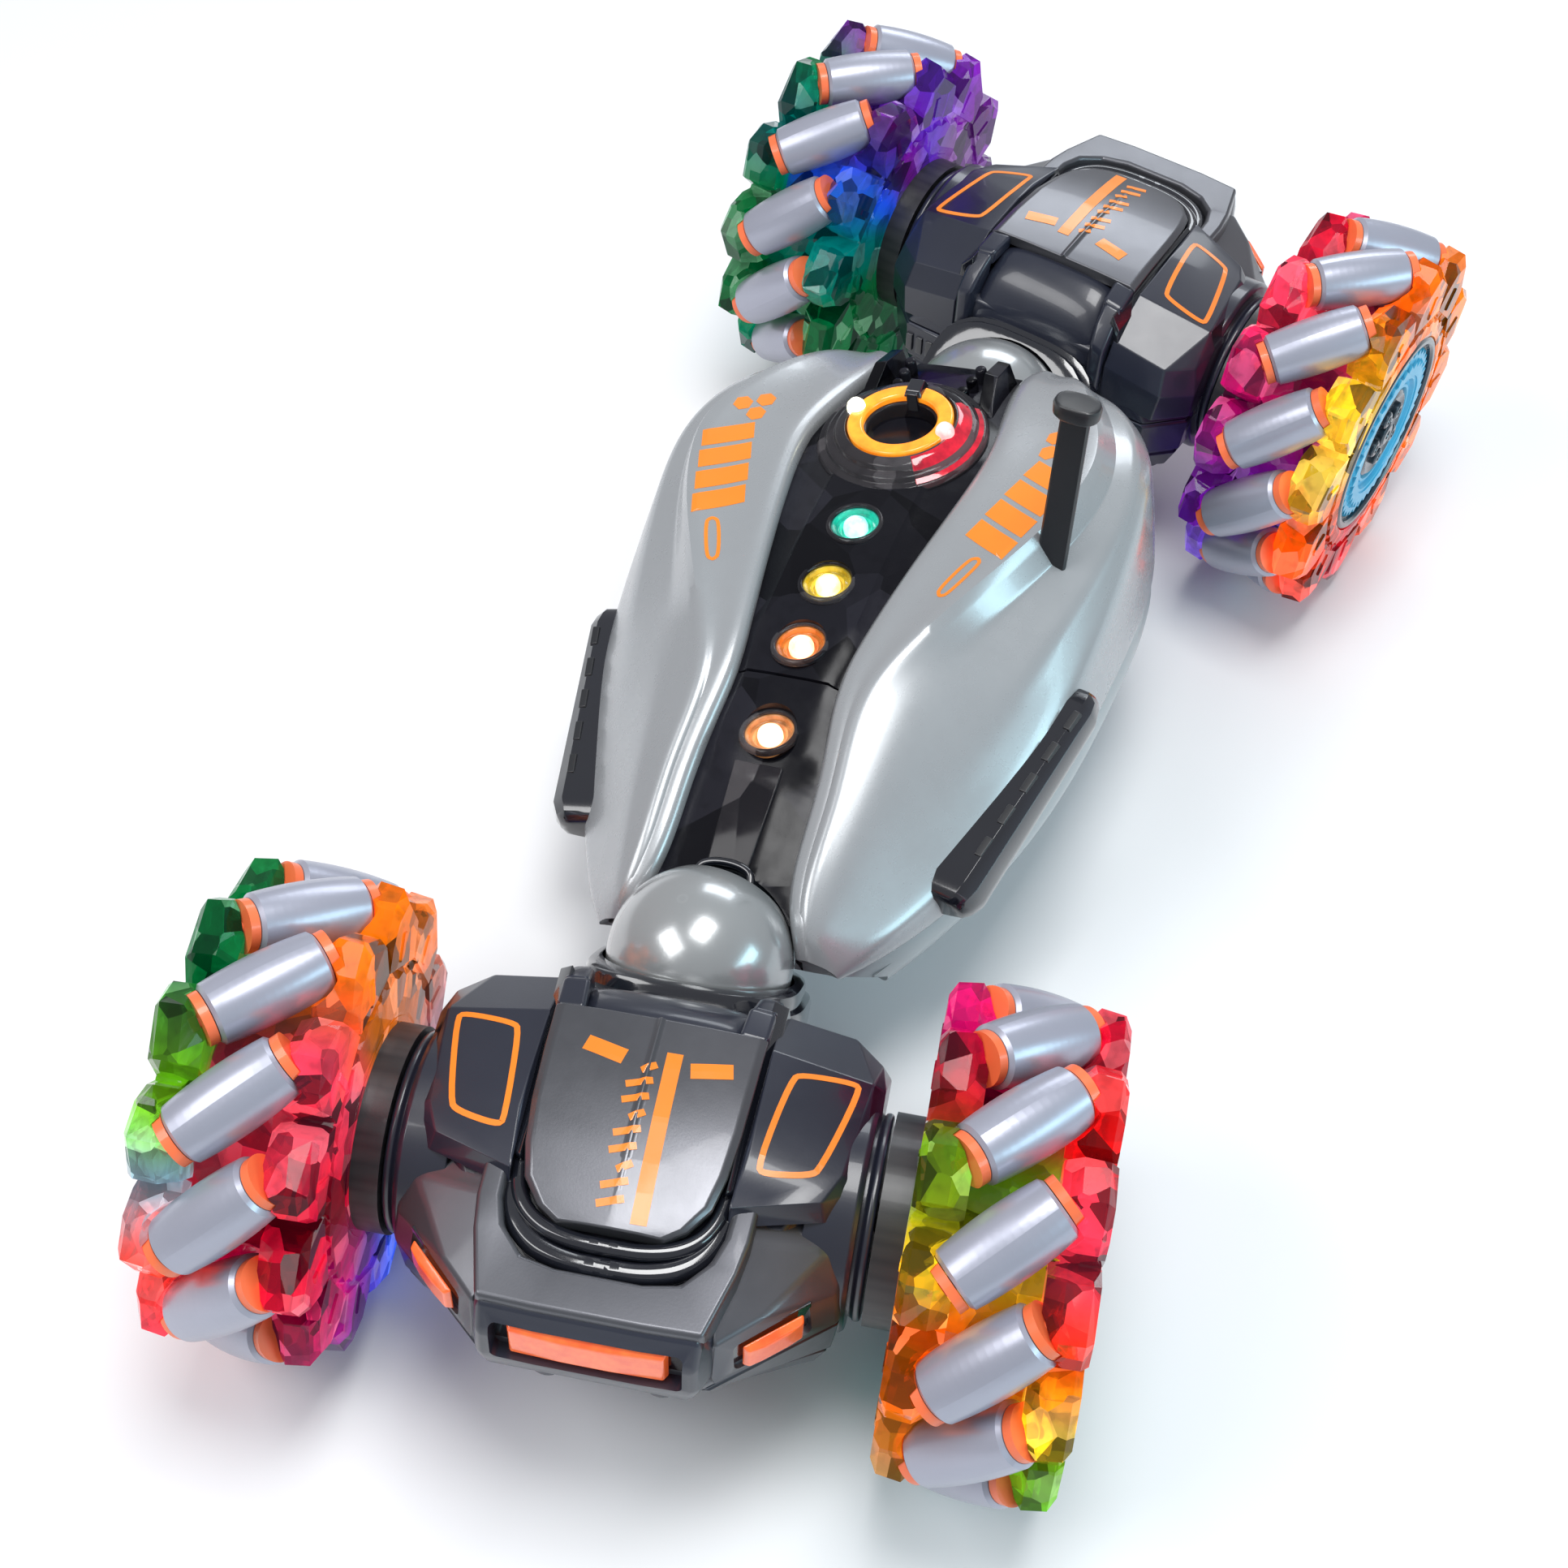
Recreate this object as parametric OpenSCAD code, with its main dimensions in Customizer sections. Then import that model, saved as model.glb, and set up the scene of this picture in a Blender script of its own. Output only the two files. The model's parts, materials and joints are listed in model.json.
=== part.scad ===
/* [Wheels] */
// Diameter over the rollers
wheel_d = 104; // [102:1:106]
// Width over the two claw rings
wheel_w = 38; // [37:1:40]
// Distance between the centres of a left and a right wheel
track = 150; // [150:1:156]
// Length of one barrel roller
roller_len = 24.5; // [22:0.5:25]
// Largest diameter of a barrel roller
roller_d = 14.6; // [12.6:0.2:15]
// Radius of the hub cap
hub_cap_r = 28; // [24:1:29]

/* [Twist joints] */
// Distance between the two ball joints
ball_gap = 194; // [192:1:200]
// Distance from a ball joint to the axle in front of it
axle_reach = 56; // [56:1:58]
// Angle by which both modules stand twisted at rest
rest_twist = 16; // [12:1:20]
// Radius of the ball domes
ball_r = 21; // [20:0.5:21.5]
// Radius of the twist shaft
twist_shaft_r = 5; // [4:0.5:5.5]

/* [Body] */
// Half width of the body at its shoulders
shoulder_y = 61; // [58:1:62]
// Height of the belly under the ball joints
belly_z = -26; // [-28:1:-24]
// Wall of the moulded shells
wall = 2.2; // [1.8:0.1:2.6]
// Length of the antenna blade
antenna_len = 48; // [40:1:52]

/* [Axle modules] */
// Half width of a module at its axle
module_y = 48; // [46:1:48]
// Height of the module's hood above the axle
hood_z = 28; // [26:1:29]
// Length of the nose in front of the axle
nose_x = 48; // [46:1:49]

/* [Hidden] */
$fn = 64;
// The twist axes slant by 45 degrees, forwards and down at the front
slant = 45;
wheel_r = wheel_d / 2;
half_gap = ball_gap / 2;
run_gap = 0.05;
seam = 0.2;
// Roll of the body that keeps both axles level while the modules are twisted
body_roll = atan(cos(slant) * tan(rest_twist));
// Sideways and upward move of an axle's middle, seen from its ball, in the body's frame
reach_y = axle_reach * sin(slant) * sin(rest_twist);
reach_z = -axle_reach * sin(slant) * cos(slant) * (1 - cos(rest_twist));
ball_z = wheel_r - reach_y * sin(body_roll) - reach_z * cos(body_roll);
ball_y = -reach_y * cos(body_roll) + reach_z * sin(body_roll);

// Wheel
pitch_r = wheel_r - roller_d / 2;
roller_slant = 45;
pin_r = 1.5;
bush_r = 5.6;
bush_start = roller_len / 2 + 0.2;
bush_end = bush_start + 2;
pin_end = bush_end + 2;
barrel_r = 37;
claw_tip_r = wheel_r * 0.955;
claw_turn = atan(bush_end * sin(roller_slant) / pitch_r);
claw_y = 10.2;
axle_r = 3;

// Gears: 36 teeth on the axle, 12 on the motor
gear_module = 0.8;
gear_teeth = 36;
pinion_teeth = 12;
gear_centres = gear_module * (gear_teeth + pinion_teeth) / 2 + 0.1;
gear_y = 38;
gear_w = 4;
boss_r = 21.5;
boss_end = module_y + 1.6;
drum_start = boss_end + 0.4;
wheel_in = (track - wheel_w) / 2;

// Twist joint, measured along the slanted axis from the ball's centre
dome_end = 8;
collar_start = dome_end + 0.4;
collar_end = 27;
collar_r = 17;

// ---------------------------------------------------------------- placing

// Body frame: origin midway between the balls, rolled so that the axles are level
module in_body() {
    translate([0, ball_y, ball_z]) rotate([body_roll, 0, 0]) children();
}

// Slanted frame at a ball of the body: +Z runs along the twist axis, out of the body
module at_ball(end) {
    translate([end * half_gap, 0, 0]) rotate([0, end * (90 + slant), 0]) children();
}

// Module frame: origin at the axle's middle, +X away from the body, twisted by rest_twist
module in_front() {
    in_body() translate([half_gap, 0, 0])
        rotate(a = -rest_twist, v = [cos(slant), 0, -sin(slant)])
            translate([axle_reach, 0, 0]) children();
}

module in_rear() {
    in_body() translate([-half_gap, 0, 0])
        rotate(a = rest_twist, v = [-cos(slant), 0, -sin(slant)])
            rotate([0, 0, 180]) translate([axle_reach, 0, 0]) children();
}

// Wheel frame: origin at the wheel's middle, +Y out of the car. side is 1 or -1
module at_wheel(side) {
    rotate([0, 0, side > 0 ? 0 : 180]) translate([0, track / 2, 0]) children();
}

// Turns something drawn upwards so that it points along +Y
module along_y() { rotate([-90, 0, 0]) children(); }

// Mirrors a shape so that both halves are there
module both_sides() { children(); mirror([0, 1, 0]) children(); }

// ---------------------------------------------------------------- helpers

// Solid through rings of points, the same number in each ring
module loft(rings) {
    n = len(rings[0]);
    m = len(rings);
    points = [for (ring = rings) each ring];
    sides = [for (k = [0:m - 2], i = [0:n - 1])
        let (j = (i + 1) % n)
        each [[k * n + i, k * n + j, (k + 1) * n + j], [k * n + i, (k + 1) * n + j, (k + 1) * n + i]]];
    near = [[for (i = [0:n - 1]) n - 1 - i]];
    far = [[for (i = [0:n - 1]) (m - 1) * n + i]];
    polyhedron(points, concat(sides, near, far), convexity = 4);
}

// Room that a twisting module and its wheels need beside the body
module twist_room(end) {
    profile = [
        [ball_r + 0.3, -0.8], [44, -0.8], [47, 4], [53, 4], [56, -6], [60, -11.5],
        [66, -14.5], [106, -14.5], [150, 20], [150, 90], [ball_r + 0.3, 90]
    ];
    at_ball(end) rotate_extrude($fn = 96) polygon(profile);
}

module twist_rooms() {
    twist_room(1);
    twist_room(-1);
}

// Room for the two ball domes
module ball_rooms() {
    for (end = [-1, 1]) translate([end * half_gap, 0, 0]) sphere(r = ball_r + 0.1, $fn = 72);
}

// Spur gear outline with relieved teeth
module gear_2d(teeth, thin = 0.4) {
    pitch = gear_module * teeth / 2;
    step = 360 / teeth;
    root = pitch - 1.15 * gear_module;
    tip = pitch + 0.85 * gear_module;
    circle(r = root + 0.01, $fn = teeth * 2);
    for (i = [0:teeth - 1]) rotate(i * step) polygon([
        for (p = [[root - 0.4, -0.3], [root, -0.3], [pitch, -thin / 2], [tip, -thin / 5],
                  [tip, thin / 5], [pitch, thin / 2], [root, 0.3], [root - 0.4, 0.3]])
            [p[0] * cos(p[1] * step), p[0] * sin(p[1] * step)]
    ]);
}

// ---------------------------------------------------------------- wheel

// Frame of roller i: +Z along the roller's own axis
module at_roller(i) {
    along_y() rotate([0, 0, i * 360 / 12]) translate([pitch_r, 0, 0])
        rotate([roller_slant, 0, 0]) children();
}

// Barrel radius at distance s from the roller's middle: the wheel's outline stays round
function barrel(s) = wheel_r - sqrt(pow(pitch_r, 2) + pow(s * sin(roller_slant), 2));

module roller() {
    half = roller_len / 2;
    steps = 6;
    rotate_extrude($fn = 40) polygon([
        [pin_r + run_gap, -half], [barrel(half) - 0.8, -half],
        for (i = [-steps:steps]) [barrel(half * i / steps * 0.94), half * i / steps * 0.94],
        [barrel(half) - 0.8, half], [pin_r + run_gap, half]
    ]);
}

module wheel_rollers() {
    color([0.63, 0.65, 0.66]) for (i = [0:11]) at_roller(i) roller();
}

module wheel_roller_pins() {
    color([0.95, 0.32, 0.10]) for (i = [0:11]) at_roller(i) {
        cylinder(r = pin_r, h = 2 * pin_end, center = true, $fn = 24);
        for (end = [-1, 1]) translate([0, 0, end * (bush_start + bush_end) / 2])
            cylinder(r = bush_r, h = bush_end - bush_start, center = true, $fn = 32);
    }
}

// Room for the rollers and bushes between the claws
module roller_room() {
    for (i = [0:11]) at_roller(i) {
        cylinder(r = roller_d / 2 + 0.25, h = roller_len + 0.3, center = true, $fn = 32);
        cylinder(r = bush_r + 0.5, h = 2 * bush_end + 0.2, center = true, $fn = 32);
    }
}

// Twelve pointed claws, drawn upwards from claw_y to the wheel's side
module claws(turn) {
    for (i = [0:11]) rotate(i * 30 + turn)
        translate([0, 0, claw_y]) linear_extrude(wheel_w / 2 - claw_y - 0.3) polygon([
            [barrel_r - 2, -7.5], [claw_tip_r - 6, -6.6], [claw_tip_r - 1.6, -3.4],
            [claw_tip_r, 0], [claw_tip_r - 1.6, 3.4], [claw_tip_r - 6, 6.6],
            [barrel_r - 2, 7.5]
        ]);
}

module wheel_outer_ring() {
    color([0.95, 0.45, 0.15, 0.7]) difference() {
        along_y() {
            claws(-claw_turn);
            translate([0, 0, claw_y + 0.4])
                cylinder(r = barrel_r, h = wheel_w / 2 - claw_y - 0.4);
        }
        roller_room();
        along_y() {
            translate([0, 0, wheel_w / 2 - 3]) cylinder(r = hub_cap_r + 0.3, h = 4);
            translate([0, 0, claw_y]) cylinder(r = 30, h = 3.6);
            cylinder(r = axle_r + 0.02, h = wheel_w);
        }
    }
}

module wheel_inner_ring() {
    color([0.75, 0.15, 0.45, 0.7]) difference() {
        along_y() {
            mirror([0, 0, 1]) claws(claw_turn);
            translate([0, 0, -wheel_w / 2]) difference() {
                cylinder(r = barrel_r, h = wheel_w / 2 + claw_y);
                translate([0, 0, 4]) cylinder(r = barrel_r - 3, h = wheel_w);
            }
            translate([0, 0, -wheel_w / 2]) cylinder(r = 8, h = wheel_w / 2 + claw_y + 3);
        }
        roller_room();
        along_y() cylinder(r = axle_r + 0.02, h = 2 * wheel_w, center = true);
    }
}

module wheel_hub_cap() {
    color([0.25, 0.75, 0.88]) along_y() {
        translate([0, 0, wheel_w / 2 - 2.9]) {
            cylinder(r = hub_cap_r, h = 1.9);
            difference() {
                cylinder(r = hub_cap_r, h = 2.7);
                translate([0, 0, -1]) cylinder(r = hub_cap_r - 2.5, h = 5);
            }
        }
    }
}

// Steel axle with its gear inside the module and its ribbed drum beside the wheel
module wheel_axle() {
    inner_end = 30 - track / 2;
    color([0.14, 0.15, 0.18]) along_y() {
        translate([0, 0, inner_end]) cylinder(r = axle_r, h = wheel_w / 2 - 3 - inner_end);
        translate([0, 0, gear_y - track / 2]) linear_extrude(gear_w) gear_2d(gear_teeth);
        translate([0, 0, drum_start - track / 2]) difference() {
            cylinder(r = boss_r + 0.5, h = wheel_in - drum_start - 0.05);
            for (i = [0:35]) rotate(i * 10) translate([boss_r + 1, 0, 1.5])
                cube([1.6, 1.6, 30], center = false);
        }
    }
}

// ---------------------------------------------------------------- axle module

module plan_outline() {
    half = [
        [-36, 18], [-35, 38], [-26, module_y - 1], [12, module_y], [25, module_y - 2],
        [nose_x - 4, 24], [nose_x, 20]
    ];
    polygon(concat(half, [for (i = [len(half) - 1:-1:0]) [half[i][0], -half[i][1]]]));
}

floor_z = -21;

// Slanted room for the collar through the back of both shells
module collar_room() {
    translate([-axle_reach, 0, 0]) rotate([0, 90 + slant, 0])
        cylinder(r = collar_r + 0.02, h = collar_end + 0.02);
}

module screw_places() {
    for (p = [[-24, 36], [34, 12]], s = [-1, 1]) translate([p[0], s * p[1], 0]) children();
}

module axle_lower_shell() {
    color([0.17, 0.18, 0.21]) difference() {
        union() {
            difference() {
                translate([0, 0, floor_z]) linear_extrude(-floor_z) plan_outline();
                translate([0, 0, floor_z + wall]) linear_extrude(40)
                    offset(delta = -wall) plan_outline();
            }
            both_sides() translate([0, module_y - 8, 0]) along_y()
                cylinder(r = boss_r, h = boss_end - module_y + 8);
            screw_places() translate([0, 0, floor_z + 0.5]) cylinder(r = 3.4, h = -floor_z - 1);
        }
        collar_room();
        both_sides() translate([0, gear_y - 2, 0]) along_y()
            cylinder(r = axle_r + run_gap, h = 20);
        // The boss is hollow on its inner side, around the axle gear
        both_sides() translate([0, module_y - 9, 0]) along_y() cylinder(r = 17.5, h = 7);
        both_sides() translate([gear_centres, gear_y - 1.5, 0]) along_y()
            cylinder(r = 6.6, h = 7);
        screw_places() {
            translate([0, 0, floor_z - 1]) cylinder(r = 1.4, h = 40, $fn = 24);
            translate([0, 0, floor_z - 1]) cylinder(r = 2.8, h = 2.6, $fn = 32);
        }
    }
}

// Closed outer form of the upper shell, grown outwards by g
module upper_form(g = 0) {
    hull() {
        translate([0, 0, seam]) linear_extrude(0.1) offset(delta = g) plan_outline();
        both_sides() for (p = [
            [-35.9, 20, 17], [-35, 36, 9], [-14, 43, hood_z - 3.5], [11, 38, hood_z - 4],
            [-8, 20, hood_z], [18, 19, hood_z - 1.5], [nose_x - 4, 22, 21], [nose_x, 20, 16]
        ]) translate([p[0], p[1] - 0.5, p[2] + g - 0.5]) cube(1, center = true);
    }
}

// Rooms for the lamp lenses: one across the nose and one on each slanted side
module lamp_places(g = 0) {
    translate([nose_x - 1.6, 0, 9]) cube([3.6 + g, 32 + g, 8 + g], center = true);
    both_sides() translate([(nose_x + 20) / 2 + 1.4, 34, 7])
        rotate([0, 0, -48]) cube([17 + g, 3.6 + g, 6.5 + g], center = true);
}

module axle_upper_shell() {
    color([0.17, 0.18, 0.21]) difference() {
        union() {
            difference() {
                upper_form();
                translate([0, 0, -0.3]) hull() {
                    linear_extrude(0.1) offset(delta = -wall) plan_outline();
                    both_sides() for (p = [
                        [-33, 18, 14], [-32, 33, 6], [-14, 40, hood_z - 6.5],
                        [10, 35, hood_z - 7], [-8, 18, hood_z - 3], [17, 16, hood_z - 4.5],
                        [nose_x - 7, 19, 17], [nose_x - 4, 17, 12]
                    ]) translate([p[0], p[1] - 0.5, p[2] - 0.5]) cube(1, center = true);
                }
            }
            intersection() {
                upper_form(-0.4);
                screw_places() translate([0, 0, 1]) cylinder(r = 3.4, h = 30);
            }
        }
        collar_room();
        both_sides() translate([0, module_y - 12, 0]) along_y()
            cylinder(r = boss_r + 0.3, h = 20);
        both_sides() translate([gear_centres, gear_y - 1.5, 0]) along_y()
            cylinder(r = 6.6, h = 7);
        lamp_places(0.1);
        screw_places() translate([0, 0, -1]) cylinder(r = 1.25, h = 11, $fn = 24);
    }
}

// Hood plate: lies on the upper shell and keeps to its form
module axle_hood() {
    color([0.23, 0.24, 0.27]) difference() {
        intersection() {
            upper_form(2.2);
            linear_extrude(60) polygon([
                [-35.5, -21], [4, -21.5], [18, -19], [25, -11],
                [25, 11], [18, 19], [4, 21.5], [-35.5, 21]
            ]);
        }
        upper_form(0.05);
    }
}

module axle_lamps() {
    color([1.0, 0.38, 0.12, 0.9]) intersection() {
        lamp_places(0);
        hull() {
            translate([0, 0, 0.2]) linear_extrude(18) offset(delta = 0.6) plan_outline();
        }
    }
}

// Collar and twist shaft, one piece on the slanted axis
module axle_collar() {
    color([0.10, 0.11, 0.13]) translate([-axle_reach, 0, 0]) rotate([0, 90 + slant, 0]) {
        translate([0, 0, collar_start]) rotate_extrude() polygon([
            [0, 0], [15, 0], [15, 1.6], [13.6, 1.6], [13.6, 2.8], [15.8, 2.8], [15.8, 4.6],
            [14.2, 4.6], [14.2, 5.8], [collar_r, 5.8],
            [collar_r, collar_end - collar_start], [0, collar_end - collar_start]
        ]);
        translate([0, 0, -7]) cylinder(r = twist_shaft_r, h = collar_start + 7.5);
    }
}

motor_r = 10;

module axle_motors() {
    color([0.62, 0.62, 0.60]) both_sides() translate([gear_centres, 7, 0]) along_y()
        difference() {
            union() {
                cylinder(r = motor_r, h = 26);
                cylinder(r = 3.5, h = 27.5);
            }
            translate([0, 0, 10]) cylinder(r = 1 + run_gap, h = 30, $fn = 32);
        }
}

// Motor shaft with its pinion, in mesh with the axle gear
module axle_pinion(side) {
    color([0.85, 0.80, 0.62]) mirror([0, side > 0 ? 0 : 1, 0])
        translate([gear_centres, 0, 0]) along_y() {
            translate([0, 0, 18]) cylinder(r = 1, h = 20, $fn = 32);
            translate([0, 0, gear_y]) rotate(180 / pinion_teeth)
                linear_extrude(gear_w) gear_2d(pinion_teeth);
        }
}

module axle_screws() {
    color([0.55, 0.55, 0.57]) screw_places() {
        translate([0, 0, floor_z]) difference() {
            cylinder(r = 2.6, h = 1.5, $fn = 32);
            for (a = [0, 90]) rotate(a) cube([3, 0.6, 1.4], center = true);
        }
        translate([0, 0, floor_z + 1]) cylinder(r = 1.3, h = 29, $fn = 24);
    }
}

// ---------------------------------------------------------------- body

// Stations from the rear to the front: x, edge beside the spine (y, z), ridge (y, z),
// side (y, z) and lower edge (y, z)
function stations() = [
    [-90, 22, 21, 28, 20, 33, 14, 34, -2],
    [-80, 20.5, 27, 34, 28, 42, 20, 43, -3],
    [-66, 21.5, 31, 41, 33, 53, 26, 53, -4],
    [-38, 26.5, 35, 50, 36, shoulder_y, 28, shoulder_y - 1, -5],
    [-4, 21, 34, 44, 33, shoulder_y - 1, 17, shoulder_y - 2, -6],
    [32, 14.5, 28, 35, 27, 55, 8, 55, -9],
    [58, 18, 17, 31, 17, 47, 0, 47, -12],
    [74, 15.5, 11, 27, 11, 39, -3, 39, -13],
    [92, 21.6, 2, 26.6, 2.6, 29.5, -6, 29.5, -13]
];

// Section of a side panel at one station: outside down, then back up inside
function panel_ring(s) = [
    [s[0], s[1], s[2] - 4], [s[0], s[1], s[2]], [s[0], s[3], s[4]], [s[0], s[5], s[6]],
    [s[0], s[7], s[8]], [s[0], s[7] - wall, s[8]], [s[0], s[5] - wall, s[6] - 1],
    [s[0], s[3] - 1, s[4] - wall], [s[0], s[1] + wall, s[2] - wall],
    [s[0], s[1] + wall, s[2] - 4]
];

module side_panel() {
    color([0.64, 0.66, 0.67]) difference() {
        loft([for (s = stations()) panel_ring(s)]);
        twist_rooms();
        ball_rooms();
    }
}

antenna_foot = [-14, 48, 28.5];

// Left panel: has the slot that the antenna's foot is pushed into
module left_panel() {
    color([0.64, 0.66, 0.67]) difference() {
        side_panel();
        translate(antenna_foot) rotate([-body_roll, 0, 0])
            translate([-0.9, -3.5, 0]) cube([1.8, 7, 20]);
    }
}

// Outline of the hull at its rim, drawn inside the side panels by g
module hull_outline(g = 0) {
    rows = stations();
    half = [for (s = rows) [s[0], s[7] - g]];
    polygon(concat(half, [for (i = [len(rows) - 1:-1:0]) [rows[i][0], g - rows[i][7]]]));
}

door_x = 36;
door_y = 21;
switch_x = -52;
charge_x = -52;
charge_y = -16;
charge_r = 2;

module hull_screw_places() {
    for (x = [-62, 52], y = [-24, 24]) translate([x, y, 0]) children();
}

rim_z = -13.5;

// Tub of the hull, with a shelf and side walls that carry the panels
module lower_hull() {
    color([0.60, 0.62, 0.63]) difference() {
        union() {
            difference() {
                hull() {
                    translate([0, 0, rim_z]) linear_extrude(0.2) hull_outline(0.4);
                    translate([0, 0, belly_z]) linear_extrude(0.5)
                        scale([0.82, 0.80]) hull_outline();
                }
                for (end = [-1, 1]) translate([end * 132, 0, 0]) cube(100, center = true);
                hull() {
                    translate([0, 0, rim_z]) linear_extrude(20) hull_outline(0.4 + wall);
                    translate([0, 0, belly_z + wall]) linear_extrude(0.5)
                        scale([0.79, 0.75]) hull_outline();
                }
            }
            intersection() {
                union() {
                    translate([0, 0, rim_z - 1.2]) linear_extrude(1.4) difference() {
                        hull_outline(0.8);
                        hull_outline(2 * wall + 0.6);
                    }
                    both_sides() loft([for (s = stations()) [
                        [s[0], s[7] - 2 * wall - 0.6, rim_z - 0.6],
                        [s[0], s[7] - 2 * wall, s[8] + 2],
                        [s[0], s[7] - wall - 0.2, s[8] + 2.1],
                        [s[0], s[7] - wall - 0.2, rim_z - 0.7]
                    ]]);
                }
                cube([160, 200, 100], center = true);
            }
        }
        twist_rooms();
        ball_rooms();
        // Door opening, switch slot, charging hole and screw holes in the belly
        translate([0, 0, belly_z]) cube([2 * door_x, 2 * door_y, 8], center = true);
        translate([switch_x, 0, belly_z]) cube([9, 4, 12], center = true);
        translate([charge_x, charge_y, belly_z - 1]) cylinder(r = charge_r, h = 8);
        hull_screw_places() translate([0, 0, belly_z - 1]) {
            cylinder(r = 1.4, h = 8, $fn = 24);
            cylinder(r = 2.8, h = 2.6, $fn = 32);
        }
    }
}

// Section of the spine strip at one station, drawn inside the panels by a small seam
function spine_ring(s) = [
    [s[0], 0.3 - s[1], s[2] - 4], [s[0], 0.3 - s[1], s[2] - 1.4],
    [s[0], 5 - s[1], s[2] - 0.2], [s[0], s[1] - 5, s[2] - 0.2],
    [s[0], s[1] - 0.3, s[2] - 1.4], [s[0], s[1] - 0.3, s[2] - 4],
    [s[0], s[1] - wall, s[2] - 3.8], [s[0], s[1] - 6, s[2] - 2.4],
    [s[0], 6 - s[1], s[2] - 2.5], [s[0], wall - s[1], s[2] - 3.9]
];

light_x = [-12, 7, 25];
lid_light_x = 47;
ring_x = -45;
lid_start = 34;

function spine_z(x) = lookup(x, [for (s = stations()) [s[0], s[2]]]);

module spine_strip() {
    loft([for (s = stations()) spine_ring(s)]);
}

module spine_cover() {
    color([0.12, 0.12, 0.14, 0.85]) difference() {
        union() {
            intersection() {
                spine_strip();
                translate([-100 + lid_start - 0.2, 0, 0]) cube([200, 80, 120], center = true);
            }
            translate([ring_x, 0, spine_z(ring_x) - 1]) cylinder(r = 17, h = 4.5);
            both_sides() translate([-76, 15, spine_z(-76) - 2]) hull() {
                cube([16, 4, 2]);
                translate([1, 0.5, 8]) cube([9, 2.6, 1]);
            }
        }
        translate([ring_x, 0, spine_z(ring_x) - 4]) cylinder(r = 13.6, h = 20);
        for (x = light_x) translate([x, 0, 0]) cylinder(r = 5.05, h = 60);
        twist_rooms();
        ball_rooms();
    }
}

module spine_lid() {
    color([0.16, 0.15, 0.17, 0.85]) difference() {
        intersection() {
            spine_strip();
            translate([lid_start + 0.2, -40, -60]) cube([46, 80, 120]);
        }
        translate([lid_light_x, 0, 0]) cylinder(r = 5.05, h = 60);
        twist_rooms();
        ball_rooms();
    }
}

module ring_light() {
    color([1.0, 0.62, 0.12, 0.9]) translate([ring_x, 0, spine_z(ring_x) - 3]) difference() {
        cylinder(r = 13.5, h = 7);
        translate([0, 0, -1]) cylinder(r = 8.6, h = 10);
    }
}

// Domed lenses over the row of lights
module spine_lights() {
    color([0.9, 0.9, 0.8, 0.7]) for (x = concat(light_x, [lid_light_x]))
        translate([x, 0, spine_z(x) - 3.4]) {
            cylinder(r = 5, h = 2.6);
            translate([0, 0, 2.6]) intersection() {
                translate([0, 0, -4.2]) sphere(r = 6.5);
                cylinder(r = 5, h = 4);
            }
        }
}

// Ribbed step along one flank
module side_step() {
    rear = [8, shoulder_y - 1.4, 6];
    front = [66, 44.6, -5];
    color([0.12, 0.13, 0.15]) difference() {
        hull() for (p = [rear, front]) translate(p) {
            cube([4, 5, 8], center = true);
            translate([p[0] == rear[0] ? 3 : -3, 3.4, 0]) cube([3, 3, 5], center = true);
        }
        // Hollow back, clear of the panel and the hull
        loft([for (s = stations()) [
            [s[0], 0, -40], [s[0], 0, 60], [s[0], s[5] + 0.1, 60], [s[0], s[5] + 0.1, s[6]],
            [s[0], s[7] + 0.1, s[8]], [s[0], s[7] + 0.1, -40]
        ]]);
    }
}

module antenna() {
    color([0.13, 0.13, 0.13]) translate(antenna_foot) rotate([-body_roll, 0, 0]) {
        translate([-0.9, -3.5, 0]) cube([1.8, 7, antenna_len]);
        translate([0, 0, antenna_len]) scale([0.75, 1, 1]) cylinder(r = 5.6, h = 3.2);
    }
}

// Hollow dome of a ball joint, with the bearing floor of the twist shaft
module ball_dome(end) {
    color([0.64, 0.66, 0.67]) difference() {
        intersection() {
            translate([end * half_gap, 0, 0]) sphere(r = ball_r, $fn = 96);
            at_ball(end) translate([0, 0, dome_end - 60]) cylinder(r = 40, h = 60);
        }
        intersection() {
            translate([end * half_gap, 0, 0]) sphere(r = ball_r - wall, $fn = 96);
            at_ball(end) translate([0, 0, dome_end - 60 - wall]) cylinder(r = 40, h = 60);
        }
        at_ball(end) cylinder(r = twist_shaft_r + run_gap, h = 30);
        // The inner side is open towards the body
        translate([end * (half_gap - 34), 0, 0]) cube([40, 60, 60], center = true);
    }
}

// Closed geared motors that turn the twist shafts
module twist_motors() {
    color([0.30, 0.31, 0.33]) for (end = [-1, 1]) difference() {
        union() {
            translate([end * (half_gap - 17), 0, -3.5]) cube([28, 20, 14], center = true);
            translate([end * (half_gap - 45), 0, -2.5]) rotate([0, 90, 0])
                cylinder(r = 7.4, h = 30, center = true);
        }
        at_ball(end) translate([0, 0, -7.3]) cylinder(r = twist_shaft_r + run_gap, h = 30);
        at_ball(end) translate([0, 0, dome_end - wall - 0.2]) cylinder(r = 30, h = 30);
    }
}

board_z = 9;

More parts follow.
